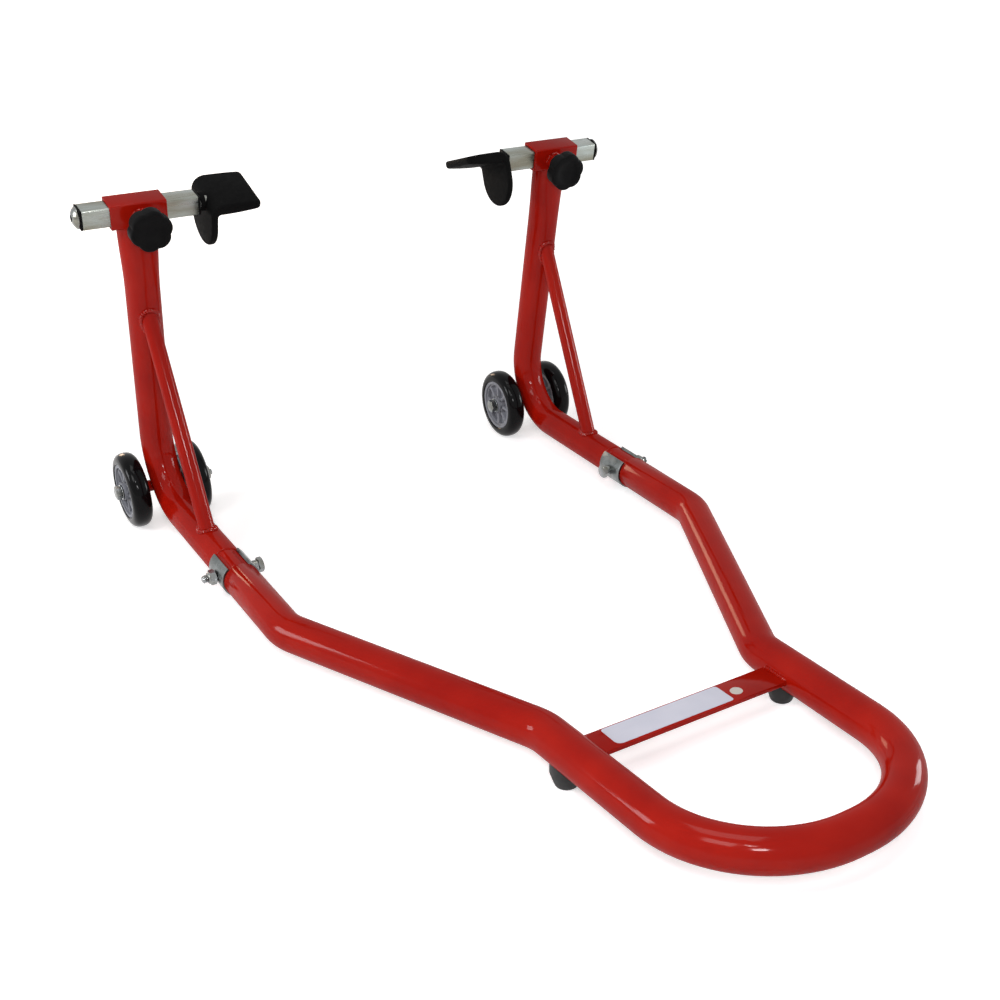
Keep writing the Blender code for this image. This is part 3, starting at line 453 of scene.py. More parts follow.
def turned(work, profile, place, closed=False, steps=ROUND):
    """Turn a profile of (radius, height) points on the lathe, about the place's Z axis."""
    known = set(work.verts)
    verts = [work.verts.new((radius, 0, height)) for radius, height in profile]
    edges = [work.edges.new(pair) for pair in zip(verts, verts[1:])]
    if closed:
        edges.append(work.edges.new((verts[-1], verts[0])))
    bmesh.ops.spin(work, geom=verts + edges, cent=(0, 0, 0), axis=(0, 0, 1),
                   angle=2 * pi, steps=steps, use_merge=True, use_duplicate=False)
    set_down(work, place, known)


foot_rubber = coat("foot_rubber", "pad_rubber", ((0.020, 0.022, 0.022), (0.032, 0.034, 0.033)),
                   (50,), (0.50, 0.68), (200,), ((0.00004, 900, 4.0),), Specular_IOR_Level=0.20)
zinc = coat("zinc_plate", "zinc", ((0.160, 0.155, 0.130), (0.290, 0.310, 0.325)), (70, 5.0),
            (0.16, 0.30), (160,), ((0.00004, 500),), (0.35, 0.65), Metallic=1.0)

for name, side in SIDES.items():
    leg = leg_point(side, middle("rubber_foot_" + name).y)
    place = Matrix.Translation((leg.x, leg.y, 0))
    work = bmesh.new()
    profile = eased([(0, FOOT_RECESS, 0), (FOOT_RECESS_R, FOOT_RECESS, 0.0003),
                     (FOOT_RECESS_R, 0, 0.0004), (FOOT_BOTTOM_R, 0, FOOT_EDGE_R),
                     (FOOT_TOP_R, FOOT_SEAT_Z, 0), (FOOT_TOP_R, FRAME_Z, 0), (0, FRAME_Z, 0)])
    turned(work, profile, place)
    for vert in work.verts:
        if vert.co.z > FOOT_SEAT_Z + 0.0001:
            over = leg_point(side, vert.co.y)
            across = vert.co.x - over.x
            seat = over.z - sqrt(FRONT_R ** 2 - across ** 2) + 0.0006
            vert.co.z = min(vert.co.z, seat)
    finished("foot_" + name, work, foot_rubber, "frame", "rubber_foot_" + name)
    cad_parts["foot_screw_" + name].material_slots[0].material = zinc

# --------------------
# Rear arms
# Each arm is one bent tube: a floor tube and an upright whose top is pressed oval under the
# sleeve. Its front end is necked down, with two flutes, to plug into the front tube.
# --------------------
ARM_R = 0.0164
LEAN = radians(12.5)
UP = Vector((0, -sin(LEAN), cos(LEAN)))
AHEAD = Vector((0, cos(LEAN), sin(LEAN)))
UPRIGHT_RISE = 0.3192
ARM_BEND_R = 0.058
FLAT_START = 0.238
FLAT_WIDTH = 0.038
FLAT_DEPTH = 0.0262
FLAT_STEPS = 12
SLEEVE_SIDE = 0.024
NECK_R = 0.0152
NECK_LENGTH = 0.0370
NECK_RINGS = 26  # so that the flutes can be pressed in
SHOULDER = ((0.0004, 0.0163), (0.0004, 0.0160), (0.0003, 0.0156), (0.0001, NECK_R))
PLUG_R = 0.0142
PLUG_LENGTH = 0.028
FLUTE_R = 0.0024
FLUTE_DEPTH = 0.0016
FLUTE_ANGLE = radians(24)
FLUTE_END = 0.003  # from the neck's ends to the flutes'
FLUTE_FADE = 0.006


def corner_of(name):
    """Where an arm's floor tube and its upright would meet without the bend."""
    return middle("sleeve_" + name) - UP * UPRIGHT_RISE


def press_top(work, foot):
    """Press the upright's end oval."""
    top = UPRIGHT_RISE - SLEEVE_SIDE / 2
    for vert in work.verts:
        offset = vert.co - foot
        rise = offset.dot(UP)
        if rise > FLAT_START:
            ease = sin(min((rise - FLAT_START) / (top - FLAT_START), 1) * pi / 2) ** 2
            wide = offset.x * (1 + ease * (FLAT_WIDTH / (2 * ARM_R) - 1))
            deep = offset.dot(AHEAD) * (1 + ease * (FLAT_DEPTH / (2 * ARM_R) - 1))
            vert.co = foot + UP * rise + AHEAD * deep + Vector((wide, 0, 0))


def press_flutes(work, x, shoulder):
    """Sink two grooves into the top of the neck, fading at their ends."""
    axis_r = NECK_R + FLUTE_R - FLUTE_DEPTH
    for vert in work.verts:
        across, height = vert.co.x - x, vert.co.z - FRAME_Z
        radius = hypot(across, height)
        inset = min(shoulder - vert.co.y, vert.co.y - (shoulder - NECK_LENGTH)) - FLUTE_END
        if inset < 0 or abs(radius - NECK_R) > 0.0001:
            continue
        groove = FLUTE_R * min(1, 0.55 + inset / FLUTE_FADE)
        for hand in (-1, 1):
            off = atan2(across, height) - hand * FLUTE_ANGLE
            beside = axis_r * sin(off)
            if abs(off) < 1 and abs(beside) < groove:
                depth = axis_r * cos(off) - sqrt(groove ** 2 - beside ** 2)
                if depth < radius:
                    vert.co.x = x + across * depth / radius
                    vert.co.z = FRAME_Z + height * depth / radius


for name in SIDES:
    corner = corner_of(name)
    top = UPRIGHT_RISE - SLEEVE_SIDE / 2
    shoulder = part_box("saddle_" + name)[1].y + GAP
    work = bmesh.new()
    rim = open_rim(work, corner + UP * top, -UP, ARM_R, 96)
    capped(work, rim)
    for _ in range(FLAT_STEPS):
        rim = drawn(work, rim, UP * (FLAT_START - top) / FLAT_STEPS)
    here = Vector((corner.x, shoulder + 0.0012, FRAME_Z))
    rim = bend_pipe(work, rim, [corner + UP * FLAT_START, corner, here], [ARM_BEND_R])
    ahead = Vector((0, -1, 0))
    steps = [(ahead * travel, radius) for travel, radius in SHOULDER]
    steps += [(ahead * NECK_LENGTH / NECK_RINGS, NECK_R)] * NECK_RINGS
    steps += [(ahead * 0.0003, PLUG_R), (ahead * PLUG_LENGTH, PLUG_R)]
    capped(work, neck_down(work, rim, here, steps))
    press_top(work, corner)
    press_flutes(work, corner.x, shoulder)
    finished("rear_arm_" + name, work, red_coat, "frame", "upright_" + name)

# --------------------
# Braces
# A thin steel tube from each upright's front down to its floor tube, its ends coped to both
# and welded all round. The red coat runs over the rippled beads.
# --------------------
BRACE_R = 0.0078
BRACE_TOP_RISE = 0.2310
BRACE_FOOT_Y = -0.148
COPE_DEPTH = 0.0006  # how far an end reaches into the wall that it stands on


def onto_tube(point, along, centre, axis, radius):
    """Slide a point along a line, out of a tube, until it meets the tube's wall."""
    offset = point - centre
    offset -= axis * offset.dot(axis)
    across = along - axis * along.dot(axis)
    a, b, c = across.dot(across), offset.dot(across), offset.dot(offset) - radius ** 2
    return point + along * (sqrt(b * b - a * c) - b) / a


def around(centre, direction, radius, count):
    """Points evenly round a circle."""
    place = facing(centre, direction)
    return [place @ polar(radius, 2 * pi * step / count) for step in range(count)]


for name in SIDES:
    corner = corner_of(name)
    high = corner + UP * BRACE_TOP_RISE
    low = Vector((corner.x, axle.y + BRACE_FOOT_Y, FRAME_Z))
    rise = (high - low).normalized()
    work = bmesh.new()
    rim_low = open_rim(work, low, rise, BRACE_R)
    rim_high = drawn(work, rim_low, high - low)
    welds = bmesh.new()
    for rim, centre, along, axis in ((rim_low, low, rise, Vector((0, 1, 0))),
                                     (rim_high, high, -rise, UP)):
        for vert in verts_of(rim):
            vert.co = onto_tube(vert.co, along, centre, axis, ARM_R - COPE_DEPTH)
        capped(work, rim)
        seam = around(centre, along, BRACE_R + 0.0004, ring_count(2.5 * pi * BRACE_R))
        weld_bead(welds, [onto_tube(point, along, centre, axis, ARM_R + 0.0002)
                          for point in seam], BEAD_R, closed=True)
    finished("brace_tube_" + name, work, red_coat, "frame", "brace_" + name)
    finished("brace_welds_" + name, welds, bead_coat, "frame", smooth=60)

# --------------------
# Axle bushes
# A short thick tube across the outside of each bend, welded on above and below. The wheel
# bolt is clamped in it.
# --------------------
BUSH_R = 0.006
BUSH_LENGTH = 0.0386
M8_R = 0.004
BUSH_EDGE_R = 0.0006
BUSH_WELD_R = 0.0024
BUSH_WELD_IN = 0.0050  # the beads' place, from the bush's axis towards the bend
BUSH_WELD_SPREAD = 0.0042  # and to either side
BUSH_WELD_REACH = Vector((0.0105, 0, 0))
ALONG_X = Matrix.Rotation(radians(90), 4, 'Y')


def ring(work, place, outer, inner, low, high, edge_r, mouth_r, steps=5):
    """A turned ring, its edges eased outside and at the bore's mouths."""
    turned(work, eased([(outer, high, edge_r), (outer, low, edge_r),
                        (inner, low, mouth_r), (inner, high, mouth_r)], steps), place, closed=True)


for name in SIDES:
    centre = Vector((corner_of(name).x, axle.y, middle("axle_bush_" + name).z))
    half = BUSH_LENGTH / 2
    work = bmesh.new()
    ring(work, Matrix.Translation(centre) @ ALONG_X, BUSH_R, M8_R, -half, half, BUSH_EDGE_R, 0.0003)
    finished("bush_" + name, work, red_coat, "frame", "axle_bush_" + name)
    bend_centre = Vector((centre.x, 0, FRAME_Z + ARM_BEND_R))
    reach = ARM_BEND_R + ARM_R + GAP + BUSH_R
    bend_centre.y = centre.y - sqrt(reach ** 2 - (bend_centre.z - centre.z) ** 2)
    outwards = (centre - bend_centre).normalized()
    beside = outwards.cross(Vector((1, 0, 0)))
    work = bmesh.new()
    for hand in (-1, 1):
        seam = centre - outwards * BUSH_WELD_IN + beside * hand * BUSH_WELD_SPREAD
        weld_bead(work, straight_seam(seam - BUSH_WELD_REACH, seam + BUSH_WELD_REACH), BUSH_WELD_R)
    finished("bush_welds_" + name, work, bead_coat, "frame", smooth=60)

# --------------------
# Couplings
# A zinc-plated half shell clamps each neck between the two tubes. A hexagon bolt with a
# round collar crosses it, and a self-locking nut holds it on the outer side.
# --------------------
SADDLE_OUTER_R = 0.0186
SADDLE_WALL = 0.0030
SADDLE_OPENING = radians(78)
SADDLE_EDGE_R = 0.0005
M8_FLATS = 0.013
M8_HEAD = 0.0053
M8_PITCH = 0.00125
COLLAR_R = 0.0055
COLLAR_LENGTH = 0.0044
COUPLING_NUT = 0.008
LOCK_RING_R = 0.0052
LOCK_RING = 0.0016
HEX_SEAT = 0.475  # of the flats: radius of a hexagon's round end faces
THREAD_DEPTH = 0.61  # of the pitch
THREAD_SIDES = 24


def ringed(rim, radius, level):
    """Put a rim's points on a circle about the Z axis, at this level."""
    for vert in verts_of(rim):
        vert.co = Vector((*(vert.co.xy.normalized() * radius), level))
    return rim


def hexagon(work, place, flats, low, high, bore_r=0.0):
    """A hexagon whose corners are turned off at 30 degrees at both ends."""
    known = set(work.verts)
    made = bmesh.ops.create_circle(work, cap_ends=False, segments=6, radius=flats / sqrt(3),
                                   matrix=Matrix.Translation((0, 0, (low + high) / 2)))
    bmesh.ops.subdivide_edges(work, edges=rim_of(made["verts"]), cuts=7)
    waist = rim_of([vert for vert in work.verts if vert not in known])
    seat_r = HEX_SEAT * flats
    rims = []
    for level, way in ((low, 1), (high, -1)):
        corners = drawn(work, waist)
        for vert in verts_of(corners):
            over = max(vert.co.xy.length - seat_r, 0)
            vert.co.z = level + way * over * tan(radians(30))
        rims.append(ringed(drawn(work, corners), seat_r, level))
        if bore_r:
            rims[-1] = ringed(drawn(work, rims[-1]), bore_r, level)
    if bore_r:
        bmesh.ops.bridge_loops(work, edges=rims[0] + rims[1])
    else:
        capped(work, *rims)
    set_down(work, place, known)


def threaded(work, place, radius, pitch, low, high):
    """A rod with a helical thread, its tip chamfered."""
    root = radius - THREAD_DEPTH * pitch
    turned(work, [(0, low), (root, low), (root, high - pitch), (root - 0.4 * pitch, high),
                  (0, high)], place, steps=THREAD_SIDES)
    known = set(work.verts)
    start = low + pitch / 2
    ridge = [work.verts.new((reach, 0, start + rise * pitch)) for reach, rise in (
        (root - 0.0001, -0.47), (radius, -0.06), (radius, 0.06), (root - 0.0001, 0.47))]
    edges = [work.edges.new((ridge[index - 1], ridge[index])) for index in range(4)]
    turns = (high - low) / pitch - 1.6
    steps = round(turns * THREAD_SIDES)
    last = swept(work, ridge + edges, (0, 0, 1), turns * 2 * pi, steps,
                 climb=(0, 0, turns * pitch / steps))
    capped(work, edges, picked(last, BMEdge))
    set_down(work, place, known)


dull_zinc = coat("dull_zinc_plate", "zinc", ((0.110, 0.120, 0.118), (0.190, 0.205, 0.205)),
                 (90, 5.0), (0.24, 0.40), (220,), ((0.00008, 160),), (0.35, 0.65), Metallic=1.0)

for name, side in SIDES.items():
    low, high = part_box("saddle_" + name)
    centre = Vector((corner_of(name).x, (low.y + high.y) / 2, FRAME_Z))
    half = (high.y - low.y) / 2
    work = bmesh.new()
    profile = eased([(SADDLE_OUTER_R, half, SADDLE_EDGE_R), (SADDLE_OUTER_R, -half, SADDLE_EDGE_R),
                     (SADDLE_OUTER_R - SADDLE_WALL, -half, 0.0003),
                     (SADDLE_OUTER_R - SADDLE_WALL, half, 0.0003)], 3)
    lip = Matrix.Rotation(SADDLE_OPENING / 2 - pi / 2, 3, 'Y')
    verts = [work.verts.new(lip @ Vector((radius, height, 0))) for radius, height in profile]
    edges = [work.edges.new((verts[index - 1], verts[index])) for index in range(len(verts))]
    last = swept(work, verts + edges, (0, 1, 0), 2 * pi - SADDLE_OPENING, 56)
    capped(work, edges, picked(last, BMEdge))
    set_down(work, Matrix.Translation(centre))
    finished("saddle_shell_" + name, work, dull_zinc, "frame", "saddle_" + name)

    outwards = Matrix.Translation(centre) @ Matrix.Rotation(side * radians(90), 4, 'Y')
    seat = SADDLE_OUTER_R
    tip = reach_x("coupling_bolt_" + name)[1] - abs(centre.x)
    work = bmesh.new()
    under_head = -seat - COLLAR_LENGTH
    hexagon(work, outwards, M8_FLATS, under_head - M8_HEAD, under_head)
    turned(work, eased([(0, under_head - 0.001, 0), (COLLAR_R, under_head - 0.001, 0),
                        (COLLAR_R, -seat, 0.0003), (M8_R, -seat, 0), (M8_R, 0, 0), (0, 0, 0)]),
           outwards)
    threaded(work, outwards, M8_R, M8_PITCH, -0.002, tip)
    finished("cross_bolt_" + name, work, zinc, "frame", "coupling_bolt_" + name)
    work = bmesh.new()
    nut_top = seat + COUPLING_NUT
    hexagon(work, outwards, M8_FLATS, seat + GAP, nut_top - LOCK_RING, M8_R)
    ring_foot = nut_top - LOCK_RING - 0.0004
    turned(work, eased([(LOCK_RING_R + 0.0006, ring_foot, 0), (LOCK_RING_R, nut_top, 0.0009),
                        (M8_R, nut_top, 0.0002), (M8_R, ring_foot, 0)]), outwards, closed=True)
    finished("lock_nut_" + name, work, zinc, "frame", "coupling_nut_" + name)

# --------------------
# Wheels
# Solid rubber tyres moulded round grey plastic hubs, with eight ribs between rim and boss.
# Two wheels turn on each through bolt, with washers beside them and a nut on the outside.
# --------------------
WHEEL_R = 0.040
TYRE_WIDTH = 0.0205
TYRE_CROWN = 0.0098  # how far the tread's round falls to the side wall
TYRE_ROUND = 0.85  # a full quarter ellipse has 1
TYRE_STEPS = 14
RIM_R = 0.0285
RIM_WIDTH = 0.0190
RIM_WALL = 0.0035
WEB_WIDTH = 0.0060
RIB_WIDTH = 0.0146
RIB_T = 0.0030
BOSS_R = 0.0090
HUB_WIDTH = 0.0210
HUB_RIBS = 8
HUB_EDGE_R = 0.0006
POCKET_EDGE_R = 0.0004
WASHER_R = 0.008
WASHER_T = 0.0016

tyre_rubber = coat("tyre_rubber", "tyre_rubber",
                   ((0.0020, 0.0020, 0.0023), (0.0040, 0.0040, 0.0044)), (60,), (0.08, 0.16),
                   (120,), ((0.00002, 260), (0.000004, 1800)), Specular_IOR_Level=0.09)
hub_plastic = coat("hub_plastic", "hub_plastic", ((0.185, 0.190, 0.215), (0.235, 0.240, 0.265)),
                   (80,), (0.38, 0.52), (300,), ((0.00003, 1200),), Specular_IOR_Level=0.25)


def half_tyre_profile():
    """A tyre's section from the middle of its round tread down its side wall."""
    half = TYRE_WIDTH / 2
    points = []
    for step in range(TYRE_STEPS + 1):
        angle = radians(90 * step / TYRE_STEPS)
        points.append((WHEEL_R - TYRE_CROWN * (1 - cos(angle) ** TYRE_ROUND),
                       half * sin(angle) ** TYRE_ROUND))
    return points + [(RIM_R + 0.0014, half), (RIM_R + 0.0009, half - 0.0003),
                     (RIM_R + 0.0003, half - 0.0009), (RIM_R + 0.0003, 0)]


def pocketed_hub(work):
    """A hub's upper half, its disc pocketed between the ribs."""
    disc = RIB_WIDTH / 2
    inner = RIM_R - RIM_WALL

    def on_disc(item):
        return all(abs(vert.co.z - disc) < TOUCHING for vert in item.verts)

    profile = [(M8_R + 0.0002, 0)]
    profile += eased([(M8_R + 0.0002, HUB_WIDTH / 2, 0.0003), (BOSS_R, HUB_WIDTH / 2, HUB_EDGE_R),
                      (BOSS_R, disc, 0)], 3)
    profile.append((inner, disc))
    profile += eased([(inner, RIM_WIDTH / 2, 0.0007), (RIM_R, RIM_WIDTH / 2, 0.0005),
                      (RIM_R, 0, 0)], 3)
    turned(work, profile, Matrix.Identity(4))
    bmesh.ops.remove_doubles(work, verts=work.verts, dist=MERGED)
    disc_faces = set(filter(on_disc, work.faces))
    between_ribs = []
    for edge in work.edges:
        if len(edge.link_faces) == 2 and set(edge.link_faces) <= disc_faces:
            turn = atan2(edge.verts[0].co.y, edge.verts[0].co.x) / (2 * pi / HUB_RIBS)
            if abs(turn - round(turn)) > 0.01:
                between_ribs.append(edge)
    bmesh.ops.dissolve_edges(work, edges=between_ribs, use_verts=False)
    bmesh.ops.recalc_face_normals(work, faces=work.faces)
    sectors = list(filter(on_disc, work.faces))
    bmesh.ops.inset_individual(work, faces=sectors, thickness=RIB_T / 2, use_even_offset=True)
    for face in sectors:
        floor = bmesh.ops.extrude_face_region(work, geom=[face])["geom"]
        bmesh.ops.translate(work, verts=picked(floor, BMVert), vec=(0, 0, WEB_WIDTH / 2 - disc))
    bmesh.ops.delete(work, geom=sectors, context='FACES_ONLY')
    rims = [edge for edge in filter(on_disc, work.edges) if len(edge.link_faces) == 2
            and any(abs(face.normal.z) < 0.5 for face in edge.link_faces)
            and BOSS_R + 0.0005 < (edge.verts[0].co + edge.verts[1].co).xy.length / 2
            < inner - 0.0005]
    rounded(work, rims, POCKET_EDGE_R, 2)


for name, side in SIDES.items():
    for station in ("outer", "inner"):
        wheel = name + "_" + station
        place = Matrix.Translation(middle("tyre_" + wheel)) @ ALONG_X
        work = bmesh.new()
        upper = half_tyre_profile()
        turned(work, upper + [(radius, -height) for radius, height in reversed(upper[1:-1])], place,
               closed=True, steps=72)
        finished("tyre_ring_" + wheel, work, tyre_rubber, "wheel_" + wheel, "tyre_" + wheel)
        work = bmesh.new()
        pocketed_hub(work)
        bmesh.ops.mirror(work, geom=work.verts[:] + work.edges[:] + work.faces[:],
                         matrix=Matrix.Identity(4), merge_dist=0.00001, axis='Z')
        set_down(work, place)
        finished("ribbed_hub_" + wheel, work, hub_plastic, "wheel_" + wheel, "hub_" + wheel)
    for label in "abcd":
        node = "axle_washer_%s_%s" % (name, label)
        work = bmesh.new()
        ring(work, Matrix.Translation(middle(node)) @ ALONG_X, WASHER_R, M8_R + 0.0002,
             -WASHER_T / 2, WASHER_T / 2, 0.0003, 0.0001, 3)
        finished("washer_%s_%s" % (name, label), work, zinc, "frame", node)
    centre = Vector((corner_of(name).x, axle.y, WHEEL_R))
    place = Matrix.Translation(centre) @ ALONG_X
    low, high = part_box("axle_bolt_" + name)
    nut_low, nut_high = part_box("axle_nut_" + name)
    head, tip = low.x - centre.x, high.x - centre.x
    nut, nut_top = nut_low.x - centre.x, nut_high.x - centre.x
    work = bmesh.new()
    hexagon(work, place, M8_FLATS, head, head + M8_HEAD)
    turned(work, [(0, head + 0.002), (M8_R, head + 0.002), (M8_R, nut), (0, nut)], place, steps=24)
    threaded(work, place, M8_R, M8_PITCH, nut - 0.002, tip)
    finished("wheel_bolt_" + name, work, zinc, "frame", "axle_bolt_" + name)
    work = bmesh.new()
    hexagon(work, place, M8_FLATS, nut, nut_top, M8_R)
    finished("wheel_nut_" + name, work, zinc, "frame", "axle_nut_" + name)

# --------------------
# Sleeves
# A square steel tube welded across each upright's oval top, coated red with it. The bar
# slides through its bore.
# --------------------
SLEEVE_LENGTH = 0.0524
SLEEVE_WALL = 0.0025
SLEEVE_CORNER_R = 0.0016
SLEEVE_BORE_R = 0.0006
TUBE_END_R = 0.0003
SLEEVE_WELD_R = 0.0019


def head_place(name):
    """The place of a head: X across, Z up the upright, -Y out of the clamped face."""
    return Matrix.Translation(middle("sleeve_" + name)) @ Matrix.Rotation(LEAN, 4, 'X')


def square_tube(work, length, side, wall, corner_r, bore_r):
    """A square tube along X, its corners rolled round and its mouths open."""
    block(work, Matrix.Identity(4), length, side, side)
    work.normal_update()
    ends = [face for face in work.faces if abs(face.normal.x) > 0.9]
    bmesh.ops.inset_individual(work, faces=ends, thickness=wall, use_even_offset=True)
    mouths = [edge for face in ends for edge in face.edges]
    bmesh.ops.delete(work, geom=ends, context='FACES_ONLY')
    bmesh.ops.bridge_loops(work, edges=mouths)
    outside, inside = [], []
    for edge in work.edges:
        if abs(edge.verts[0].co.x - edge.verts[1].co.x) > length / 2:
            (outside if abs(edge.verts[0].co.y) > side / 2 - wall / 2 else inside).append(edge)
    rounded(work, outside, corner_r, 5)
    rounded(work, [edge for edge in inside if edge.is_valid], bore_r, 3)
    rims = [edge for edge in work.edges
            if all(abs(abs(vert.co.x) - length / 2) < TOUCHING for vert in edge.verts)
            and len(edge.link_faces) == 2 and edge.calc_face_angle(0) > 0.8]
    rounded(work, rims, TUBE_END_R, 2)


for name in SIDES:
    work = bmesh.new()
    square_tube(work, SLEEVE_LENGTH, SLEEVE_SIDE, SLEEVE_WALL, SLEEVE_CORNER_R, SLEEVE_BORE_R)
    set_down(work, head_place(name))
    finished("head_sleeve_" + name, work, red_coat, "frame", "sleeve_" + name)
    under = head_place(name) @ Matrix.Translation((0, 0, -SLEEVE_SIDE / 2))
    count = ring_count(pi * (FLAT_WIDTH + SLEEVE_SIDE) / 2)
    seam = [under @ Vector((FLAT_WIDTH / 2 * cos(2 * pi * step / count),
                            (SLEEVE_SIDE / 2 - 0.0004) * sin(2 * pi * step / count), 0))
            for step in range(count)]
    work = bmesh.new()
    weld_bead(work, seam, SLEEVE_WELD_R, closed=True)
    finished("sleeve_welds_" + name, work, red_coat, "frame", smooth=60)

# --------------------
# Sliding bars
# A square drawn-steel bar, zinc-plated, slides in each sleeve to set the stand's width. A
# black plastic plug closes each end.
# --------------------
BAR_SIDE = 0.0184
BAR_LENGTH = 0.1076
BAR_WALL = 0.0020
BAR_CORNER_R = 0.0012
PLUG_FLANGE = 0.0020
PLUG_DEPTH = 0.009
PLUG_EDGE_R = 0.0006

drawn_zinc = coat("drawn_zinc_plate", "zinc", ((0.195, 0.190, 0.150), (0.310, 0.340, 0.325)),
                  (70, 5.0, (0.25, 1, 1)), (0.20, 0.38), (900, 4.0, (0.02, 1, 1)),
                  ((0.00004, 90, 3.0, (0.4, 1, 1)), (0.00001, 1600, 4.0, (0.02, 1, 1))),
                  (0.35, 0.65), Metallic=1.0)
black_plastic = coat("black_moulded_plastic", "black_plastic",
                     ((0.0045, 0.0045, 0.0047), (0.0070, 0.0070, 0.0071)), (90,), (0.45, 0.60),
                     (500,), ((0.00002, 1500, 4.0),), Specular_IOR_Level=0.035)

for name, side in SIDES.items():
    place = head_place(name)
    place.translation.x = middle("bar_" + name).x
    body = "sliding_bar_" + name
    work = bmesh.new()
    square_tube(work, BAR_LENGTH, BAR_SIDE, BAR_WALL, BAR_CORNER_R, 0.0005)
    set_down(work, place)
    finished("square_bar_" + name, work, drawn_zinc, body, "bar_" + name)
    for label, way in (("outer", side), ("inner", -side)):
        work = bmesh.new()
        for length, width, shift in (
                (PLUG_FLANGE, BAR_SIDE, PLUG_FLANGE / 2 + 0.0002),
                (PLUG_DEPTH, BAR_SIDE - 2 * BAR_WALL - 0.0004, -PLUG_DEPTH / 2)):
            centre = Matrix.Translation((way * (BAR_LENGTH / 2 + shift), 0, 0))
            rounded(work, block(work, centre, length, width, width), PLUG_EDGE_R, 3)
        set_down(work, place)
        plug = name + "_" + label
        finished("end_plug_" + plug, work, black_plastic, body, "bar_plug_" + plug)

# --------------------
# Clamps
# A nut is welded low on each sleeve's front. A zinc-plated stud runs through it onto the
# bar, and a six-lobed knob of black moulded plastic turns the stud.
# --------------------
M10_FLATS = 0.017
M10_NUT = 0.008
M10_R = 0.005
M10_PITCH = 0.0015
STUD_DROP = 0.0035
STUD_INWARD = 0.0018
STUD_IN_KNOB = 0.010
KNOB_R = 0.020
KNOB_NOTCH = 0.0021
KNOB_LOBES = 6
KNOB_LOBE_ROUND = 0.75  # less makes the lobes wider and the notches sharper
KNOB_PHASE = radians(16)
KNOB_BACK = 0.0241  # from the middle of the sleeve to the knob
KNOB_HUB_R = 0.0095
KNOB_HUB_HEIGHT = 0.004
KNOB_THICKNESS = 0.013
KNOB_EDGE_R = 0.0024
KNOB_DISH_R = 0.0120
KNOB_DISH = 0.0007
NUT_WELD_R = 0.0022
NUT_WELD_TURN = 0.9  # of a radian, along the nut's flat

for name, side in SIDES.items():
    place = (head_place(name) @ Matrix.Translation((-side * STUD_INWARD, 0, -STUD_DROP))
             @ Matrix.Rotation(radians(90), 4, 'X'))
    seat = SLEEVE_SIDE / 2
    flat_down = place @ Matrix.Rotation(radians(30), 4, 'Z')
    work = bmesh.new()
    hexagon(work, flat_down, M10_FLATS, seat, seat + M10_NUT, M10_R)
    finished("weld_nut_" + name, work, red_coat, "frame", "clamp_nut_" + name)
    work = bmesh.new()
    radius = M10_FLATS / 2 + 0.0006
    count = ring_count(NUT_WELD_TURN * radius)
    for flat in (radians(30), radians(90), radians(150)):
        turns = [flat + NUT_WELD_TURN * (step / count - 0.5) for step in range(count + 1)]
        weld_bead(work, [place @ polar(radius / max(cos(turn - flat), 0.9), turn, seat + 0.0002)
                         for turn in turns], NUT_WELD_R)
    finished("nut_welds_" + name, work, bead_coat, "frame", smooth=60)

    work = bmesh.new()
    threaded(work, place, M10_R, M10_PITCH, BAR_SIDE / 2 + GAP, KNOB_BACK + STUD_IN_KNOB - GAP)
    finished("stud_" + name, work, zinc, "stud_" + name, "clamp_stud_" + name)

    work = bmesh.new()
    back = KNOB_BACK + KNOB_HUB_HEIGHT
    front = back + KNOB_THICKNESS
    rim = open_rim(work, (0, 0, back), (0, 0, 1), KNOB_R, 144)
    rims = [rim]
    edge_steps = [(sin(radians(turn)), 1 - cos(radians(turn)))
                  for turn in (0, 18, 36, 54, 72, 90)]
    levels = [(back + KNOB_EDGE_R * fall, KNOB_EDGE_R * (1 - out)) for out, fall in edge_steps]
    levels += [(front - KNOB_EDGE_R * fall, KNOB_EDGE_R * (1 - out))
               for out, fall in reversed(edge_steps)]
    for _ in levels[1:]:
        rims.append(drawn(work, rims[-1]))
    for rim, (level, inset) in zip(rims, levels):
        for vert in verts_of(rim):
            turn = atan2(vert.co.y, vert.co.x)
            lobe = abs(cos(KNOB_LOBES * (turn - KNOB_PHASE) / 2)) ** KNOB_LOBE_ROUND
            reach = KNOB_R - KNOB_NOTCH * (1 - lobe) - inset
            vert.co = polar(reach, turn, level)
    dish = ((KNOB_DISH_R, front), (KNOB_DISH_R - 0.0012, front - KNOB_DISH),
            (0.0040, front - KNOB_DISH))
    hub = ((KNOB_HUB_R, back), (KNOB_HUB_R, KNOB_BACK + 0.0005), (KNOB_HUB_R - 0.0005, KNOB_BACK),
           (M10_R + GAP, KNOB_BACK), (M10_R + GAP, KNOB_BACK + STUD_IN_KNOB))
    for rim, rings in ((rims[-1], dish), (rims[0], hub)):
        for radius, level in rings:
            rim = ringed(drawn(work, rim), radius, level)
        capped(work, rim)
    set_down(work, place)
    finished("lobed_knob_" + name, work, black_plastic, "knob_%s_body" % name, "knob_" + name,
             smooth=40)

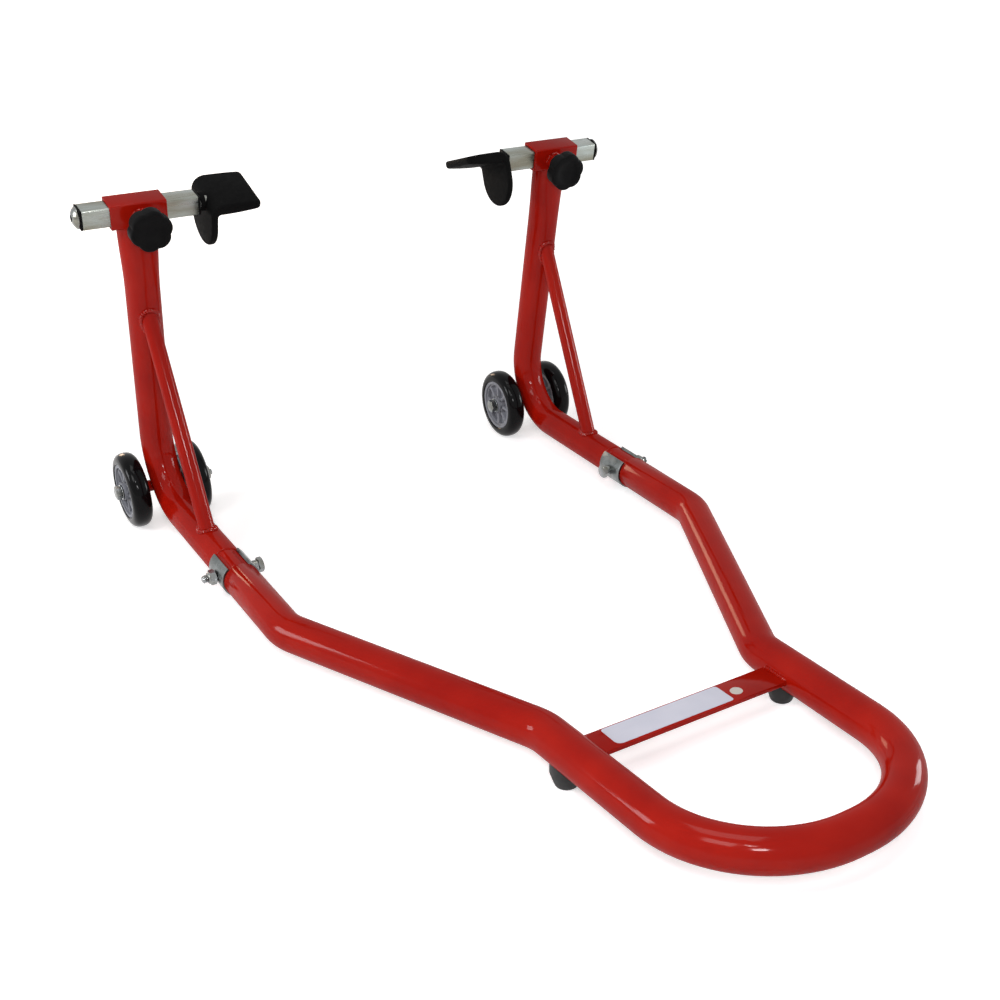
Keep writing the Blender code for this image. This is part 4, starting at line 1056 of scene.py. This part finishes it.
# --------------------
# Swing-arm pads
# A steel angle moulded into a matt black rubber boot turns on each bar's inner end. A steel
# collar spaces it off, and a dome-headed bolt through the bar holds it.
# --------------------
PAD_LENGTH = 0.049
PAD_WIDTH = 0.056
PAD_T = 0.0066
PAD_PLATE_T = 0.0110  # the plate, which thins towards its free end
PAD_PLATE_TIP_T = 0.0070
PAD_PLATE_FALL = 0.0012
PAD_TOP = 0.0086
PAD_DROP = 0.0455
PAD_TIP_R = 0.028
PAD_BEND_R = 0.0128
PAD_INNER_R = 0.003
PAD_CORNER_R = 0.0045
PAD_EDGE_R = 0.0022
PAD_HOLE_OFFSET = 0.003
PAD_TILT = {"left": radians(19.7), "right": radians(-16.2)}
DOME_R = 0.0103
DOME_HEIGHT = 0.0045
DOME_RIM = 0.0010
DOME_STEPS = 12
SOCKET_FLATS = 0.006
SOCKET_DEPTH = 0.0030
SPACER_R = 0.0075
LIP_R = 0.0090  # the boot's moulded lip round the collar

pad_rubber = coat("pad_rubber", "pad_rubber", ((0.0042, 0.0042, 0.0043), (0.0056, 0.0056, 0.0056)),
                  (45, 4.0), (0.60, 0.75), (250,), ((0.00004, 60), (0.000006, 1600)),
                  Specular_IOR_Level=0.025)
TONGUE = PAD_DROP + PAD_TOP - PAD_BEND_R  # straight stretch of the tongue
CORNER = (PAD_BEND_R + PAD_INNER_R) / 2 * pi / 2
PLATE = PAD_LENGTH - PAD_BEND_R


def bent_point(along, depth):
    """Where a point of the flat blank goes when the blank is bent over its corner."""
    under = PAD_TOP - PAD_PLATE_T
    if along < TONGUE:
        inner_z = -PAD_DROP + along * (under - PAD_INNER_R + PAD_DROP) / TONGUE
        outer, inner = Vector((0, -PAD_DROP + along)), Vector((PAD_T, inner_z))
    elif along < TONGUE + CORNER:
        turn = (along - TONGUE) / CORNER * pi / 2
        swing = Vector((-cos(turn), sin(turn)))
        outer = Vector((PAD_BEND_R, PAD_TOP - PAD_BEND_R)) + swing * PAD_BEND_R
        inner = Vector((PAD_T + PAD_INNER_R, under - PAD_INNER_R)) + swing * PAD_INNER_R
    else:
        part = (along - TONGUE - CORNER) / PLATE
        start = PAD_T + PAD_INNER_R
        outer = Vector((PAD_BEND_R + part * PLATE, PAD_TOP - part ** 3 * PAD_PLATE_FALL))
        inner = Vector((start + part * (PAD_LENGTH - start), under + part ** 2 * (
            PAD_PLATE_T - PAD_PLATE_TIP_T - PAD_PLATE_FALL)))
    return outer.lerp(inner, depth)


for name, side in SIDES.items():
    face_x = reach_x("pad_boot_" + name)[1]
    centre = middle("sleeve_" + name)
    place = (Matrix.Translation((side * face_x, centre.y, centre.z))
             @ Matrix.Rotation(PAD_TILT[name], 4, 'X'))
    half = PAD_WIDTH / 2
    total = TONGUE + CORNER + PLATE
    work = bmesh.new()
    outline = [work.verts.new((PAD_TIP_R * (1 - sin(turn)), half * cos(turn), 0))
               for turn in (pi * step / 40 for step in range(41))]
    ends = [work.verts.new((total, -half, 0)), work.verts.new((total, half, 0))]
    work.faces.new(outline + ends)
    rounded(work, ends, PAD_CORNER_R, 8, 'VERTICES')
    raised = bmesh.ops.extrude_face_region(work, geom=work.faces[:], use_keep_orig=True)["geom"]
    bmesh.ops.translate(work, verts=picked(raised, BMVert), vec=(0, 0, 1))
    bmesh.ops.recalc_face_normals(work, faces=work.faces)
    bmesh.ops.scale(work, verts=work.verts, vec=(1, 1, PAD_T))
    rims = [edge for edge in work.edges
            if abs(edge.verts[0].co.z - edge.verts[1].co.z) < TOUCHING]
    rounded(work, rims, PAD_EDGE_R, 5)
    cuts = [TONGUE * (0.45 + 0.55 * step / 4) for step in range(5)]
    cuts += [TONGUE + CORNER * step / 16 for step in range(1, 17)]
    cuts += [TONGUE + CORNER + PLATE * step / 8 for step in range(1, 8)]
    for cut in cuts:
        bmesh.ops.bisect_plane(work, geom=work.verts[:] + work.edges[:] + work.faces[:],
                               plane_co=(cut, 0, 0), plane_no=(1, 0, 0), dist=TOUCHING)
    for vert in work.verts:
        along, across, depth = vert.co
        flat = bent_point(along, depth / PAD_T)
        vert.co = place @ Vector((-side * flat.x, PAD_HOLE_OFFSET + across, flat.y))
    finished("rubber_pad_" + name, work, pad_rubber, "pad_" + name, "pad_boot_" + name, smooth=50)

    outwards = place @ Matrix.Rotation(side * radians(90), 4, 'Y')
    crown = reach_x("pad_bolt_" + name)[1] - face_x
    seat = crown - DOME_RIM - DOME_HEIGHT
    ball_r = (DOME_R ** 2 + DOME_HEIGHT ** 2) / (2 * DOME_HEIGHT)
    widest = asin(DOME_R / ball_r)
    mouth_r = SOCKET_FLATS / sqrt(3) + 0.0003
    lip_z = crown - (ball_r - sqrt(ball_r ** 2 - mouth_r ** 2))
    dome = [(ball_r * sin(turn), crown - ball_r * (1 - cos(turn)))
            for turn in (widest * (1 - step / DOME_STEPS) for step in range(DOME_STEPS + 1))]
    work = bmesh.new()
    turned(work, [(0, -PAD_T + 0.002), (M10_R, -PAD_T + 0.002), (M10_R, seat),
                  (DOME_R - 0.0004, seat), (DOME_R, seat + 0.0004)]
           + [point for point in dome if point[0] > mouth_r + 0.0001]
           + [(mouth_r, lip_z)], outwards)
    bmesh.ops.remove_doubles(work, verts=work.verts, dist=MERGED)
    socket = drawn(work, [edge for edge in work.edges if edge.is_boundary])
    inverse = outwards.inverted()
    for vert in verts_of(socket):
        local = inverse @ vert.co
        turn = atan2(local.y, local.x)
        reach = SOCKET_FLATS / 2 / cos(turn % (pi / 3) - pi / 6)
        vert.co = outwards @ polar(reach, turn, lip_z - 0.0002)
    capped(work, drawn(work, socket, outwards.to_3x3() @ Vector((0, 0, -SOCKET_DEPTH))))
    finished("dome_bolt_" + name, work, zinc, "pad_" + name, "pad_bolt_" + name)

    near, far = (reach - face_x for reach in reach_x("pad_spacer_" + name))
    work = bmesh.new()
    ring(work, outwards, SPACER_R, M10_R, near, far, 0.0004, 0.0002)
    finished("pad_collar_" + name, work, zinc, "pad_" + name, "pad_spacer_" + name)
    work = bmesh.new()
    turned(work, eased([(LIP_R, far - 0.0004, 0.0010), (LIP_R, -0.0003, 0),
                        (SPACER_R + 0.0002, -0.0003, 0),
                        (SPACER_R + 0.0002, far - 0.0004, 0.0004)]), outwards, closed=True)
    finished("pad_lip_" + name, work, pad_rubber, "pad_" + name)
    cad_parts["pad_core_" + name].material_slots[0].material = black_plastic

# --------------------
# Studio
# A plain white paper floor that keeps the stand's shadow, soft lamps all round, a small one
# beside the camera for the glints, and the camera.
# --------------------
FLOOR_SIZE = 6.0
FLOOR_GLOW = (0.7, 1.6, 0.55, 1.0)  # the paper's own light grows over this stretch
WORLD_LIGHT = 0.09


def shown_ray(tree):
    """One for rays from the camera, off gloss and through glass, nought for the rest."""
    path = add(tree, "ShaderNodeLightPath").outputs
    shown = path["Is Camera Ray"]
    for ray in ("Is Glossy Ray", "Is Transmission Ray"):
        either = add(tree, "ShaderNodeMath", {0: shown, 1: path[ray]}, operation='MAXIMUM')
        shown = either.outputs[0]
    return shown


paper = coat("white_paper", None, ((0.84, 0.84, 0.84), (0.88, 0.88, 0.88)), (3,), (0.8, 0.95),
             (40,), ((0.00002, 400),), (0, 1), Specular_IOR_Level=0.0)
tree = paper.node_tree
shader = tree.nodes["Principled BSDF"]
where = add(tree, "ShaderNodeTexCoord").outputs["Object"]
far = add(tree, "ShaderNodeVectorMath", {0: where}, operation='LENGTH')
glow = between(tree, far.outputs["Value"], *FLOOR_GLOW)
seen = add(tree, "ShaderNodeMath", {0: shown_ray(tree), 1: glow}, operation='MULTIPLY')
shader.inputs["Emission Color"].default_value = (1, 1, 1, 1)
tree.links.new(seen.outputs[0], shader.inputs["Emission Strength"])
work = bmesh.new()
bmesh.ops.create_grid(work, x_segments=1, y_segments=1, size=FLOOR_SIZE)
placed("studio_floor", work, paper)

world = bpy.data.worlds.new("studio")
bpy.context.scene.world = world
world.use_nodes = True
tree = world.node_tree
background = tree.nodes["Background"]
background.inputs["Color"].default_value = (1, 1, 1, 1)
tree.links.new(between(tree, shown_ray(tree), 0, 1, WORLD_LIGHT, 1.0),
               background.inputs["Strength"])

for name, spot, aim, size, power, tint in (
        ("key", (-1.40, -0.70, 1.90), (0, 0.1, 0.1), 0.7, 13, (1, 1, 1)),
        ("flash", (-0.52, -0.97, 0.80), (0, 0.1, 0.1), 0.17, 5.0, (1, 0.97, 1)),
        ("bounce", (-0.63, -0.89, 1.36), (0, 0.0, 0.1), 0.12, 2.2, (1, 0.97, 1)),
        ("window", (-1.70, 0.75, 0.70), (0, 0.0, 0.1), 0.55, 14, (0.96, 0.98, 1)),
        ("door", (1.60, -0.25, 0.36), (0, -0.2, 0.1), 0.45, 11, (0.96, 0.98, 1)),
        ("top", (-0.2, 0.2, 2.4), (0, 0.0, 0), 1.0, 12, (1, 1, 1)),
        ("back", (-0.2, 2.30, 0.50), (0, 0.0, 0.1), 0.5, 8, (1, 0.72, 0.50))):
    lamp = bpy.data.lights.new(name, 'AREA')
    lamp.shape = 'SQUARE'
    lamp.size = size
    lamp.energy = power
    lamp.color = tint
    holder = bpy.data.objects.new(name, lamp)
    bpy.context.scene.collection.objects.link(holder)
    turn = (Vector(aim) - Vector(spot)).to_track_quat('-Z', 'Y')
    holder.matrix_world = Matrix.Translation(spot) @ turn.to_matrix().to_4x4()

YAW = radians(-33.45)
PITCH = radians(-29.98)
ROLL = radians(0.598)
camera = bpy.data.cameras.new("camera")
camera.sensor_width = 36
camera.lens = 48.87
camera.shift_x = -0.0871
camera.shift_y = 0.0881
viewer = bpy.data.objects.new("camera", camera)
bpy.context.scene.collection.objects.link(viewer)
viewer.matrix_world = (
    Matrix.Translation((-0.5685, -1.3441 + axle.y, 0.6713))
    @ Matrix.Rotation(YAW, 4, 'Z') @ Matrix.Rotation(radians(90) + PITCH, 4, 'X')
    @ Matrix.Rotation(ROLL, 4, 'Z'))
bpy.context.scene.camera = viewer
bpy.context.scene.view_settings.view_transform = 'Standard'
